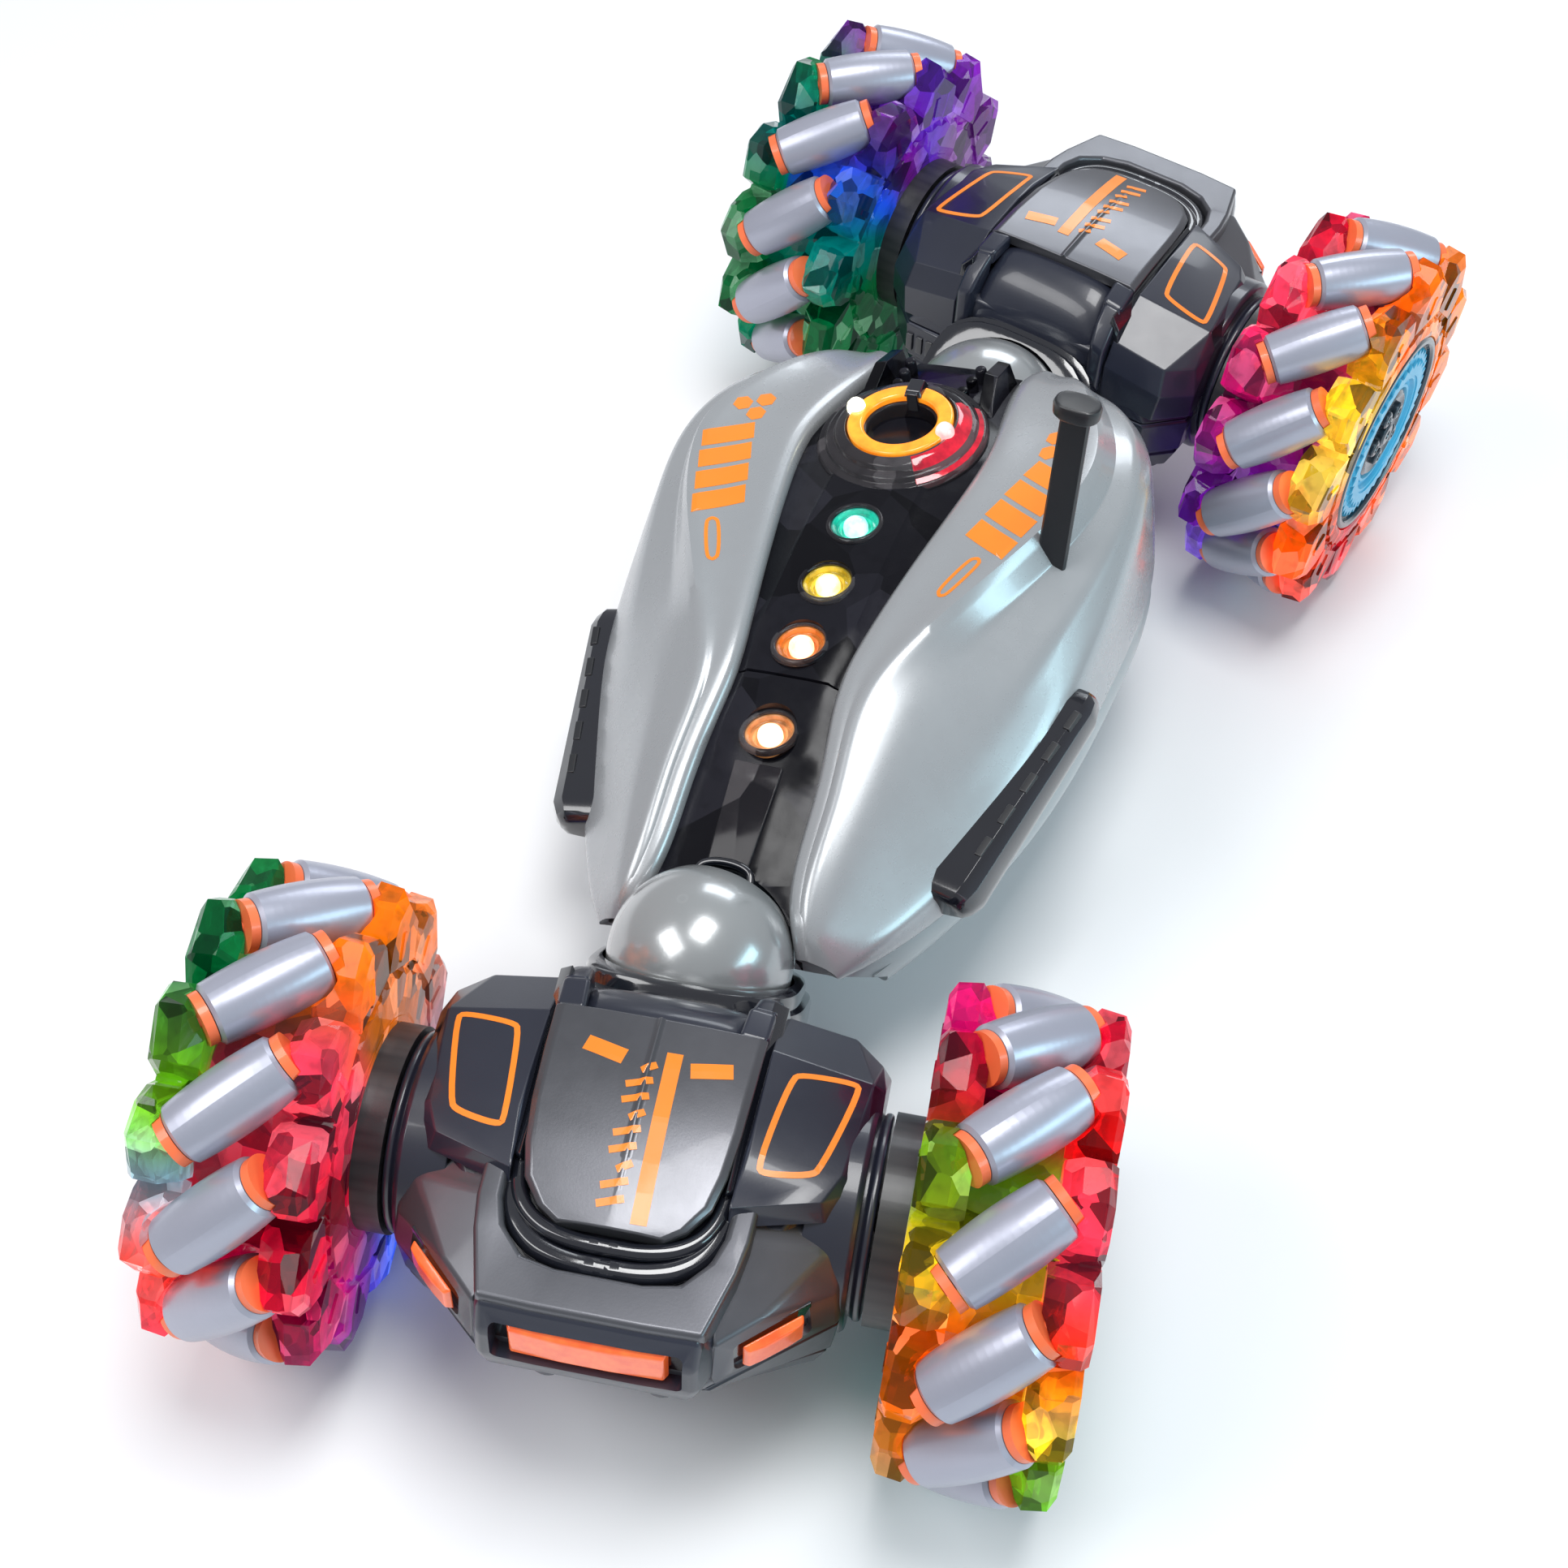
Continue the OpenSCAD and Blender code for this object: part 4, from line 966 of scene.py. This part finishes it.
panels = {hand: side_panel(hand) for hand in ("left", "right")}
skirt()
spine()
for x, color, word in LIGHTS:
    lamp(x, color, word)
turret()
for hand in ("left", "right"):
    step(hand)
antenna()

# ------------------------------------------------------------------ axle modules


def ring_at(z, inset, front, rear=0.0):
    """The module's outline at height z, drawn in at the sides, the front and the rear."""
    half = [(-36, 18), (-35, 38), (-26, 47), (12, 48), (25, 46), (44, 24), (48, 20)]
    half = [(min(x, 48 - front) if x > 0 else max(x, -36 + rear), max(6.0, y - inset)) for x, y in half]
    return [(x, y, z) for x, y in half] + [(x, -y, z) for x, y in reversed(half)]


HIGH = 60       # printed marks are cast down from this height
LIFT = 0.1      # how far a mark stands above its surface
SINK = 2.5      # a mark goes into the surface by this many times its lift


def downward(place):
    return (place.to_3x3() @ Vector((0, 0, -1))).normalized()


def ribbon(name, path, width, place, body, target, closed=False):
    """Thin printed strip that lies on a surface, cast down on it along local Z."""
    pts = [Vector((p[0], p[1], 0)) for p in path]
    if closed:
        pts = pts + [pts[0]]
    fine = []
    for a, b in zip(pts, pts[1:]):
        n = max(1, int((b - a).length / 1.2))
        fine += [a.lerp(b, k / n) for k in range(n)]
    if not closed:
        fine.append(pts[-1])
    n = len(fine)
    down = downward(place)
    up = -down * LIFT * MM
    across = max(2, int(width / 1.2) + 1)
    rings = []
    for i, p in enumerate(fine):
        a = fine[(i - 1) % n] if closed or i else p
        b = fine[(i + 1) % n] if closed or i < n - 1 else p
        d = (b - a).normalized()
        side = Vector((-d.y, d.x, 0))
        row = []
        for k in range(across):
            q = p + side * width * (k / (across - 1) - 0.5)
            row.append(target.ray_cast(place @ Vector((q.x, q.y, HIGH)), down)[0])
        if None not in row:
            rings.append([tuple(h + up) for h in row] + [tuple(h - up * SINK) for h in reversed(row)])
    bm = bmesh.new()
    loft(bm, rings, closed=closed)
    finish_mesh(name, bm, Matrix.Identity(4), body, "decal", "ring_orange", smooth=False)


def loop(name, corners, s, cut_len, width, *rest):
    """Closed strip along a shape with rounded corners, mirrored where s is -1."""
    ribbon(name, smooth_path([(x, s * y, 0) for x, y in soft_corners(corners, cut_len)], 2, closed=True), width, *rest,
           closed=True)


def patch(name, corners, target):
    """Filled printed shape on the body, cast down on a surface. Not made where it misses the surface."""
    middle = Vector((sum(c[0] for c in corners) / len(corners), sum(c[1] for c in corners) / len(corners), 0))
    down = downward(BODY)
    up = -down * (LIFT * MM)
    edge = []
    for a, b in zip(corners, corners[1:] + corners[:1]):
        a, b = Vector((*a, 0)), Vector((*b, 0))
        n = max(1, int((b - a).length / 1.5))
        edge += [a.lerp(b, k / n) for k in range(n)]
    levels = 5
    rings = []
    for k in range(levels + 1):
        points = [middle.lerp(p, k / levels) for p in edge]
        rings.append([target.ray_cast(BODY @ Vector((q.x, q.y, HIGH)), down)[0] for q in points])
        if None in rings[-1]:
            return
    bm = bmesh.new()
    center, rings = rings[0][0], rings[1:]
    loft(bm, [[tuple(p + up) for p in r] for r in rings]
         + [[tuple(p - up * SINK) for p in r] for r in reversed(rings)], caps=False)
    # Close both sides round the middle
    m = len(edge)
    for tip, base in ((center + up, 0), (center - up * SINK, (2 * levels - 1) * m)):
        c = bm.verts.new(tip)
        bm.verts.ensure_lookup_table()
        for i in range(m):
            bm.faces.new((c, bm.verts[base + i], bm.verts[base + (i + 1) % m]))
    finish_mesh(name, bm, Matrix.Identity(4), "body", "decal", "ring_orange", smooth=False)


def surface(obj):
    """What a mark is cast down on."""
    mesh = evaluated(obj)
    bm = bmesh.new()
    bm.from_mesh(mesh)
    tree = BVHTree.FromBMesh(bm)
    bm.free()
    bpy.data.meshes.remove(mesh)
    return tree


LAMP_TURN = math.radians(48)    # how far the side lamps look outwards
ARCH_POWER = 3.4                # how square the arch round a ball is


def turned_at(x, y, z, turn):
    return Matrix.Translation((x, y, z)) @ Matrix.Rotation(turn, 4, "Z")


def slot_tool(place, spin, length, height, depth):
    """Rounded slot cutter, long side across its own X."""
    r = 1.6
    rings = []
    for y in (-depth, depth):
        ring = []
        for k in range(24):
            ca, sa = math.cos(TAU * k / 24), math.sin(TAU * k / 24)
            ring.append(tuple(spin @ Vector(((length / 2 - r) * (1 if ca > 0 else -1) + r * ca, y,
                                             (height / 2 - r) * (1 if sa > 0 else -1) + r * sa))))
        rings.append(ring)
    return tool(skin(rings), place)


def gear_rooms(place):
    """Space inside a module for the axle gears and their pinions."""
    tools = []
    for s in (1, -1):
        for x, r in ((0, 16.4), (19.3, 7.2)):
            bm = bmesh.new()
            solid_lathe(bm, [(0, 37.2), (r, 37.2), (r, 42.8), (0, 42.8)], 48,
                        Matrix.Translation((x, 0, 0)) @ Matrix.Rotation(-s * math.pi / 2, 4, "X"))
            tools.append(tool(bm, place))
    return tools


def lens(bm, spin, length, height, depth):
    """Lamp lens with chamfered edges and a raised middle."""
    l, h, d = length / 2, height / 2, depth / 2
    hull(bm, [tuple(spin @ Vector(p)) for p in (
        (-l, -d, -h), (l, -d, -h), (-l, -d, h), (l, -d, h), (-l + 0.8, d, -h + 0.8), (l - 0.8, d, -h + 0.8),
        (-l + 0.8, d, h - 0.8), (l - 0.8, d, h - 0.8), (-l * 0.3, d + 0.5, -h + 1.2), (l * 0.3, d + 0.5, -h + 1.2),
        (-l * 0.3, d + 0.5, h - 1.2), (l * 0.3, d + 0.5, h - 1.2))])


def axle_module(end):
    place, body = MODULE[end], end + "_module"
    names = {}

    def make(word, bm, mat, bevel, slot, node=None, **more):
        names[word] = finish_mesh("%s_%s" % (end, word), bm, place, body, mat, slot, node and end + node,
                                  bevel=bevel, **more)
        return names[word]

    # Pan: stepped lower shell with a seam, side bosses and grooves
    pan = skin([ring_at(-20.9, 9, 18, 4), ring_at(-18.5, 4.6, 14, 1.6), ring_at(-13.0, 2.2, 10, 0.6),
                ring_at(-12.4, 2.8, 10.6, 1.2), ring_at(-11.6, 2.8, 10.6, 1.2), ring_at(-11.0, 1.4, 9.2, 0.1),
                ring_at(-0.7, 0.4, 3.4), ring_at(-0.3, 1.1, 4.0, 0.7), ring_at(0.1, 1.1, 4.0, 0.7)])
    make("pan", pan, "charcoal", 0.6, "charcoal", "_lower_shell", angle=20)
    bm = bmesh.new()
    for s in (1, -1):
        turn = Matrix.Rotation(-s * math.pi / 2, 4, "X")
        lathe(bm, [(3.05, 36), (20.6, 36), (20.6, 47.4), (21.4, 48.0), (21.4, 49.0), (20.9, 49.5),
                   (3.05, 49.5)], 96, turn)
        lathe(bm, [(3.05, 36), (24.2, 36), (24.2, 45.6), (23.4, 46.6), (3.05, 46.6)], 96, turn)
        for x, y in ((34, 12 * s), (-24, 36 * s)):
            lathe(bm, [(2.85, -21), (3.9, -21), (4.5, -20.4), (4.9, -9), (1.5, -9), (1.5, -19.3), (2.85, -19.3)], 32,
                  Matrix.Translation((x, y, 0)))
    make("bosses", bm, "charcoal", 0.35, "charcoal", angle=30)

    # Core between the pan and the skins
    bm = bmesh.new()
    hull(bm, ring_at(0.3, 0.8, 1.0, 1.0) + both([
        (-33, 18, 16), (-33, 34, 7), (-14, 41, 20), (10, 36, 20.5), (-8, 20, 25), (16, 17, 22),
        (32, 20, 16.5), (42, 20, 12), (46.6, 20, 3)]))
    make("core", bm, "charcoal", 0.8, "charcoal", "_upper_shell", angle=15)

    # Fenders: crowned plates with a thick rounded lip
    bm = pair([(-34.5, 23.2, 14), (-33.5, 40, 10.5), (-27, 47.4, 10.2), (8, 47.6, 14.2), (14.5, 40, 19.6),
               (20.5, 21.8, 21.6), (-31, 23.2, 20.5), (-30.5, 39, 17.5), (-25, 45.6, 17.4), (-18, 47, 19.2),
               (7, 45.4, 20.8), (12.4, 39.0, 23.6), (18.6, 21.8, 26.0), (-18, 23.2, 27.2), (-16.5, 44.6, 23.6),
               (6, 42.0, 24.4), (-2, 23.2, 28.2), (6, 23.2, 27.9), (-34.8, 23.2, 3), (-34.4, 39, 2.4),
               (-27.4, 47.2, 3)])
    fender = make("fenders", bm, "charcoal", 2.2, "charcoal", angle=12, steps=4)

    # Stepped cheeks in front of the fenders
    bm = pair([(8, 24, 21), (22, 25, 20.6), (18, 42, 15.6), (11, 46.6, 10.5), (23.6, 44.8, 9.6), (35, 31.5, 14.8),
               (42.5, 23.6, 14.6), (44.6, 23.4, 1.2), (25.6, 45.8, 0.6), (12, 47.4, 1), (8, 24, 1), (37, 22, 17)])
    cheeks = make("cheeks", bm, "tier", 1.0, "hood_charcoal", angle=12)
    bm = pair([(6, 45.6, 17.2), (14.5, 43.6, 17), (20.5, 42.6, 13.2), (23.2, 45.4, 2), (8, 48.6, 2), (6, 48.4, 14.6),
               (16, 47.6, 9.8)])
    make("steps", bm, "charcoal", 0.8, "charcoal", angle=12)

    # Nose ring: light-topped U round the hood's front, and the fascia under it
    stations = [((9.5, 27.6), (9.5, 23.0), 24.8), ((24, 27.2), (24, 22.2), 23.9), ((31, 26.0), (29.4, 20.4), 23.3),
                ((44.4, 22.2), (34.4, 15.6), 22.0), ((44.9, 11), (36.0, 8.5), 22.3)]
    stations += [((o[0], -o[1]), (i[0], -i[1]), z) for o, i, z in reversed(stations)]
    rings = [[(o[0], o[1], z), (i[0], i[1], z + 0.2), (i[0] - 0.8, i[1] * 0.97, z - 7), (o[0], o[1], z - 8)]
             for o, i, z in stations]
    nose = make("nose_ring", skin(rings), "tier", 1.1, "hood_charcoal", angle=20)
    bm = bmesh.new()
    hull(bm, both([
        (44.6, 22.0, 20.6), (45.0, 10.5, 20.9), (36, 22, 19), (48.0, 21.6, 14.2), (48.4, 10, 14.4), (48.4, 21.8, 5.4),
        (48.7, 10, 5.2), (47.4, 20.6, 0.6), (45.6, 19.8, -2.6), (36, 24, -2.6), (36, 25.5, 4), (42, 24.4, 4),
        (41, 24.0, 13)]))
    fascia = make("fascia", bm, "charcoal", 1.3, "charcoal", angle=14, steps=4)
    for piece in (fascia, nose):
        cut(piece, [slot_tool(place, turned_at(47.5, 0, 11.4, math.pi / 2), 38.0, 11.0, 3.4)])
        soften(piece, 30)
    cut(cheeks, [slot_tool(place, turned_at(35.6, s * 35.0, 7.2, -s * LAMP_TURN), 17.5, 8.4, 3.0) for s in (1, -1)])
    soften(cheeks, 30)
    bm = bmesh.new()
    lens(bm, turned_at(46.4, 0, 11.3, -math.pi / 2), 32.0, 10.4, 2.0)
    for s, turn in ((1, -LAMP_TURN), (-1, math.radians(48 + 180))):
        lens(bm, turned_at(35.1, s * 34.5, 7.2, turn), 14.0, 7.8, 1.5)
    make("lamp_lenses", bm, "lamp", 0.5, "lamp_orange", "_lamps", steps=3)
    bm = bmesh.new()
    hull(bm, box_points(43.0, 44.6, -19.5, 19.5, 5.2, 17.6))
    for s in (1, -1):
        hull(bm, [tuple(turned_at(33.6, s * 33.0, 7.2, -s * LAMP_TURN) @ Vector(p))
                  for p in box_points(-9.4, 9.4, -0.6, 0.6, -4.6, 4.6)])
    make("lamp_backs", bm, "black", 0.2, "black")

    # Black gutter between hood and nose ring, in two rounded steps
    bm = bmesh.new()
    u = [(-2, 22.2), (16, 21.6), (25, 20.2), (30.5, 15.4), (33, 8), (33.2, 0)]
    u = u + [(x, -y) for x, y in reversed(u[:-1])]
    for k, (shrink, z, r) in enumerate(((1.0, 20.2, 2.4), (0.90, 22.0, 1.8))):
        path = [(x * (shrink if x > 0 else 1) - (0.4 * k), y * (0.97 if k else 1.0), z + (24 - x) * 0.06) for x, y in u]
        sweep(bm, smooth_path(path, 3), r, 12)
    hull(bm, both([(2, 21, 21), (25, 18.5, 18.2), (32, 12, 17.2), (2, 21, 12), (25, 18.5, 12), (32, 12, 12)]))
    make("gutter", bm, "black", 0.3, "black", angle=30)

    # Hood plate with a centre ridge, thick edge and chamfered corners
    rows = [(-19.0, 22.2, 29.8, 0.9), (-8, 21.9, 30.2, 0.7), (4, 21.4, 29.6, 0.45), (13, 20.4, 28.2, 0.3),
            (19.6, 18.8, 26.9, 0.2), (24.6, 15.0, 25.7, 0.1), (27.2, 10.8, 25.0, 0.05)]
    rings = []
    for x, y, z, ridge in rows:
        top = [(x, -y, z - 1.3), (x, -y * 0.92, z - 0.35), (x, -y * 0.5, z + 0.05), (x, -0.8, z + 0.12),
               (x, 0, z + 0.12 + ridge), (x, 0.8, z + 0.12), (x, y * 0.5, z + 0.05), (x, y * 0.92, z - 0.35),
               (x, y, z - 1.3)]
        rings.append(top + [(x, y - 0.4, z - 3.4), (x, -y + 0.4, z - 3.4)])
    hood = make("hood_plate", skin(rings), "hood", 0.7, "hood_charcoal", "_hood", angle=24, steps=4)

    # Dark shoulders under the hood's long edges
    bm = pair([(-30, 21.4, 27.4), (16, 20.6, 26.6), (-31, 24.4, 24), (14, 23.2, 24.8), (-31, 20, 18), (15, 18, 18),
               (-31, 25, 18), (14, 24, 18)])
    make("shoulders", bm, "black", 0.5, "charcoal", angle=15)

    # Horns that carry the hood down the back, and the rounded hump between them
    bm = pair([(-18.4, 16.0, 29.6), (-18.4, 22.0, 28.8), (-26.8, 16.8, 28.6), (-26.8, 22.4, 27.6),
               (-18.4, 16.0, 25), (-18.4, 22.2, 25), (-27.5, 16.8, 24), (-27.5, 22.4, 24)],
              [(-26.4, 17.0, 28.4), (-26.4, 22.5, 27.6), (-31.6, 17.6, 24.6), (-31.6, 22.8, 23.6),
               (-35.6, 18.6, 19.6), (-35.6, 22.8, 18.6), (-36.2, 18.6, 4), (-36.2, 22.6, 4),
               (-27, 18.6, 4), (-27, 22.6, 4)],
              [(-36.2, 18.6, 5), (-36.2, 22.6, 5), (-35.4, 18.6, -10.5), (-35.4, 22.6, -10.5),
               (-30, 18.6, -10.5), (-30, 22.6, -10.5), (-30, 18.6, 5), (-30, 22.6, 5)])
    make("horns", bm, "charcoal", 1.2, "charcoal", angle=14, steps=4)
    rings = []
    for y, k in ((-18.6, 0.80), (-17.0, 0.94), (-12, 1.0), (0, 1.01), (12, 1.0), (17.0, 0.94), (18.6, 0.80)):
        q = 0.97 + 0.03 * k
        rings.append([(-15.5, y, 25.0 * k), (-19.5, y, 27.8 * k), (-22.5, y, 27.4 * k), (-28.2, y, 24.0 * k),
                      (-32.6 * q, y, 17.8 * k), (-34.8 * q, y, 10.0 * k), (-35.2 * q, y, 4), (-20, y, 4),
                      (-15.5, y, 16)])
    make("hump", skin(rings), "charcoal", 0.0, "charcoal", sub=2)

    # Arch that frames the ball, in two steps along the slanted axis
    bm = bmesh.new()
    slope = Matrix.Translation((-56, 0, 0)) @ Matrix.Rotation(SLANT, 4, "Y")
    for r, r2, h0, h1 in ((23.9, 21.7, 2.0, 21.0), (25.6, 21.7, 5.5, 22.0)):
        pts = []
        for k in range(48):
            c, s = math.cos(TAU * k / 48), math.sin(TAU * k / 48)
            q = (abs(c) ** ARCH_POWER + abs(s) ** ARCH_POWER) ** (-1 / ARCH_POWER)
            pts.append((r * q * c, r * q * s))
        outer = [[(x * k, y * k, h) for x, y in pts]
                 for h, k in ((h0, 0.93), (h0 + 0.6, 0.985), (h0 + 1.6, 1.0), (h1, 1.0))]
        merge_loft(bm, outer + [circle(r2, h, 48) for h in (h1, h0)], matrix=slope)
    make("arch", bm, "black", 0.0, "black")
    soften(names["arch"], 40)

    # Vents at the back
    bm = pair(*[box_points(-35.7, -34.6, 25.5 + 3.2 * k, 27.6 + 3.2 * k, -9.2, -3.4) for k in range(4)])
    make("vents", bm, "black", 0.25, "black")

    for word in ("pan", "bosses", "core", "fenders", "cheeks"):
        cut(names[word], gear_rooms(place))
        soften(names[word], 30)

    tree = surface(fender)
    quad = [(-15.6, 42.4), (7.6, 37.2), (10.6, 25.2), (-13.8, 28.4)]
    for s, word in ((1, "a"), (-1, "b")):
        loop("%s_outline_%s" % (end, word), quad, s, 1.6, 1.25, place, body, tree)
    tree = surface(hood)
    ribbon(end + "_bar", [(-11.0, 4.6), (25.6, 5.4)], 3.3, place, body, tree)
    ribbon(end + "_dash_a", [(-7.6, 8.4), (-9.3, 16.8)], 3.5, place, body, tree)
    ribbon(end + "_dash_b", [(-10.2, -13.6), (-8.2, -5.2)], 3.6, place, body, tree)
    for k in range(9):
        x = -7.6 + 3.6 * k
        ribbon("%s_mark_%d" % (end, k), [(x, 1.6), (x + 1.8, -3.6 if k % 3 else -1.2)], 1.5, place, body, tree)


def soft_corners(points, cut_len):
    out = []
    n = len(points)
    for i in range(n):
        p, a, b = Vector(points[i]), Vector(points[i - 1]), Vector(points[(i + 1) % n])
        out += [tuple(p + (a - p).normalized() * cut_len), tuple(p + (b - p).normalized() * cut_len)]
    return out


for end in ("front", "rear"):
    axle_module(end)

# Printed marks on the side panels
for hand, s in (("left", 1), ("right", -1)):
    tree = surface(panels[hand])
    for k, (x, y) in enumerate(((-46.2, 43.6), (-49.4, 38.6), (-43.2, 38.8))):
        corners = [(x + 2.9 * math.cos(TAU * i / 6), s * (y + 2.5 * math.sin(TAU * i / 6))) for i in range(6)]
        patch("%s_cell_%d" % (hand, k), corners, tree)
    turn = Matrix.Rotation(math.radians(-20), 2)
    for k in range(4):
        center = Vector((-33.35 + 7.5 * k, 42.15 - 2.3 * k))
        corners = [turn @ Vector(p) + center for p in ((-4.4, -6.5), (1.8, -6.5), (4.4, 6.5), (-1.8, 6.5))]
        patch("%s_stripe_%d" % (hand, k), [(p.x, s * p.y) for p in corners], tree)
    pill = [(-3.6, 35.6), (-4.8, 32.6), (7.4, 27.6), (8.8, 30.2)]
    loop(hand + "_pill", pill, s, 1.2, 0.9, BODY, "body", tree)

# ------------------------------------------------------------------ CAD nodes that stay

KEPT = {
    "rollers": "roller", "roller_pins": "bush", "axle": "satin_black", "collar": "black", "motors": "steel",
    "pinion": "brass", "screws": "steel", "ball": "ball_silver", "circuit_board": "board",
    "battery_pack": "battery", "battery_door": "hull_grey", "power_switch": "satin_black",
    "twist_motors": "hub_dark", "lower_hull": "hull_grey",
}
for name, obj in nodes.items():
    for ending, mat in KEPT.items():
        if name.endswith(ending):
            obj.data.materials.clear()
            obj.data.materials.append(M[mat])

# ------------------------------------------------------------------ studio

FLOOR, GAP = 6.0, 0.0002    # half the floor's width, and its gap under the wheels

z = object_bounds()[0][2] - GAP
mesh = bpy.data.meshes.new("floor")
mesh.from_pydata([(-FLOOR, -FLOOR, z), (FLOOR, -FLOOR, z), (FLOOR, FLOOR, z), (-FLOOR, FLOOR, z)], [], [(0, 1, 2, 3)])
floor = link_object("floor", mesh)
ground = bpy.data.materials.new("floor")
ground.use_nodes = True
paint = ground.node_tree.nodes["Principled BSDF"].inputs
paint["Base Color"].default_value = (0.86, 0.86, 0.87, 1)
paint["Roughness"].default_value = 0.7
floor.data.materials.append(ground)

world = bpy.data.worlds.new("studio")
bpy.context.scene.world = world
world.use_nodes = True
sky = world.node_tree.nodes["Background"].inputs
sky["Color"].default_value = (0.93, 0.95, 1.0, 1)
sky["Strength"].default_value = 0.44
bpy.context.scene.view_settings.view_transform = "Standard"


def softbox(name, position, target, size, power, color=(1, 1, 1)):
    light = bpy.data.lights.new(name, "AREA")
    light.shape = "RECTANGLE"
    light.size, light.size_y = size
    light.energy = power
    light.color = color
    obj = link_object(name, light)
    obj.location = position
    obj.rotation_euler = (Vector(target) - Vector(position)).to_track_quat("-Z", "Y").to_euler()


softbox("key", (0.5, -0.5, 0.9), (0, 0, 0.05), (0.6, 0.4), 4.5)
softbox("top", (0.06, 0.05, 1.1), (0.05, 0, 0.05), (0.5, 0.36), 6.5)
softbox("cool", (0.1, 0.9, 0.45), (0, 0, 0.05), (0.7, 0.25), 3.5, (0.55, 0.9, 1.0))
softbox("back", (-0.9, -0.1, 0.6), (-0.05, 0, 0.08), (0.5, 0.3), 2.5, (0.9, 0.95, 1.0))

# Camera at the photograph's angle
camera_data = bpy.data.cameras.new("camera")
camera = link_object("camera", camera_data)
camera_data.lens = 53.2
camera_data.sensor_width = 36
camera_data.clip_start = 0.01
aim = BODY @ Vector((50.3, 2.7, 8.8))
azimuth, elevation, roll, distance = math.radians(20.1), math.radians(51.3), math.radians(2.66), 0.5367
away = Vector((math.cos(elevation) * math.cos(azimuth), math.cos(elevation) * math.sin(azimuth), math.sin(elevation)))
camera.location = aim + away * distance
camera.rotation_euler = ((-away).to_track_quat("-Z", "Y").to_matrix() @ Matrix.Rotation(roll, 3, "Z")).to_euler()
bpy.context.scene.camera = camera
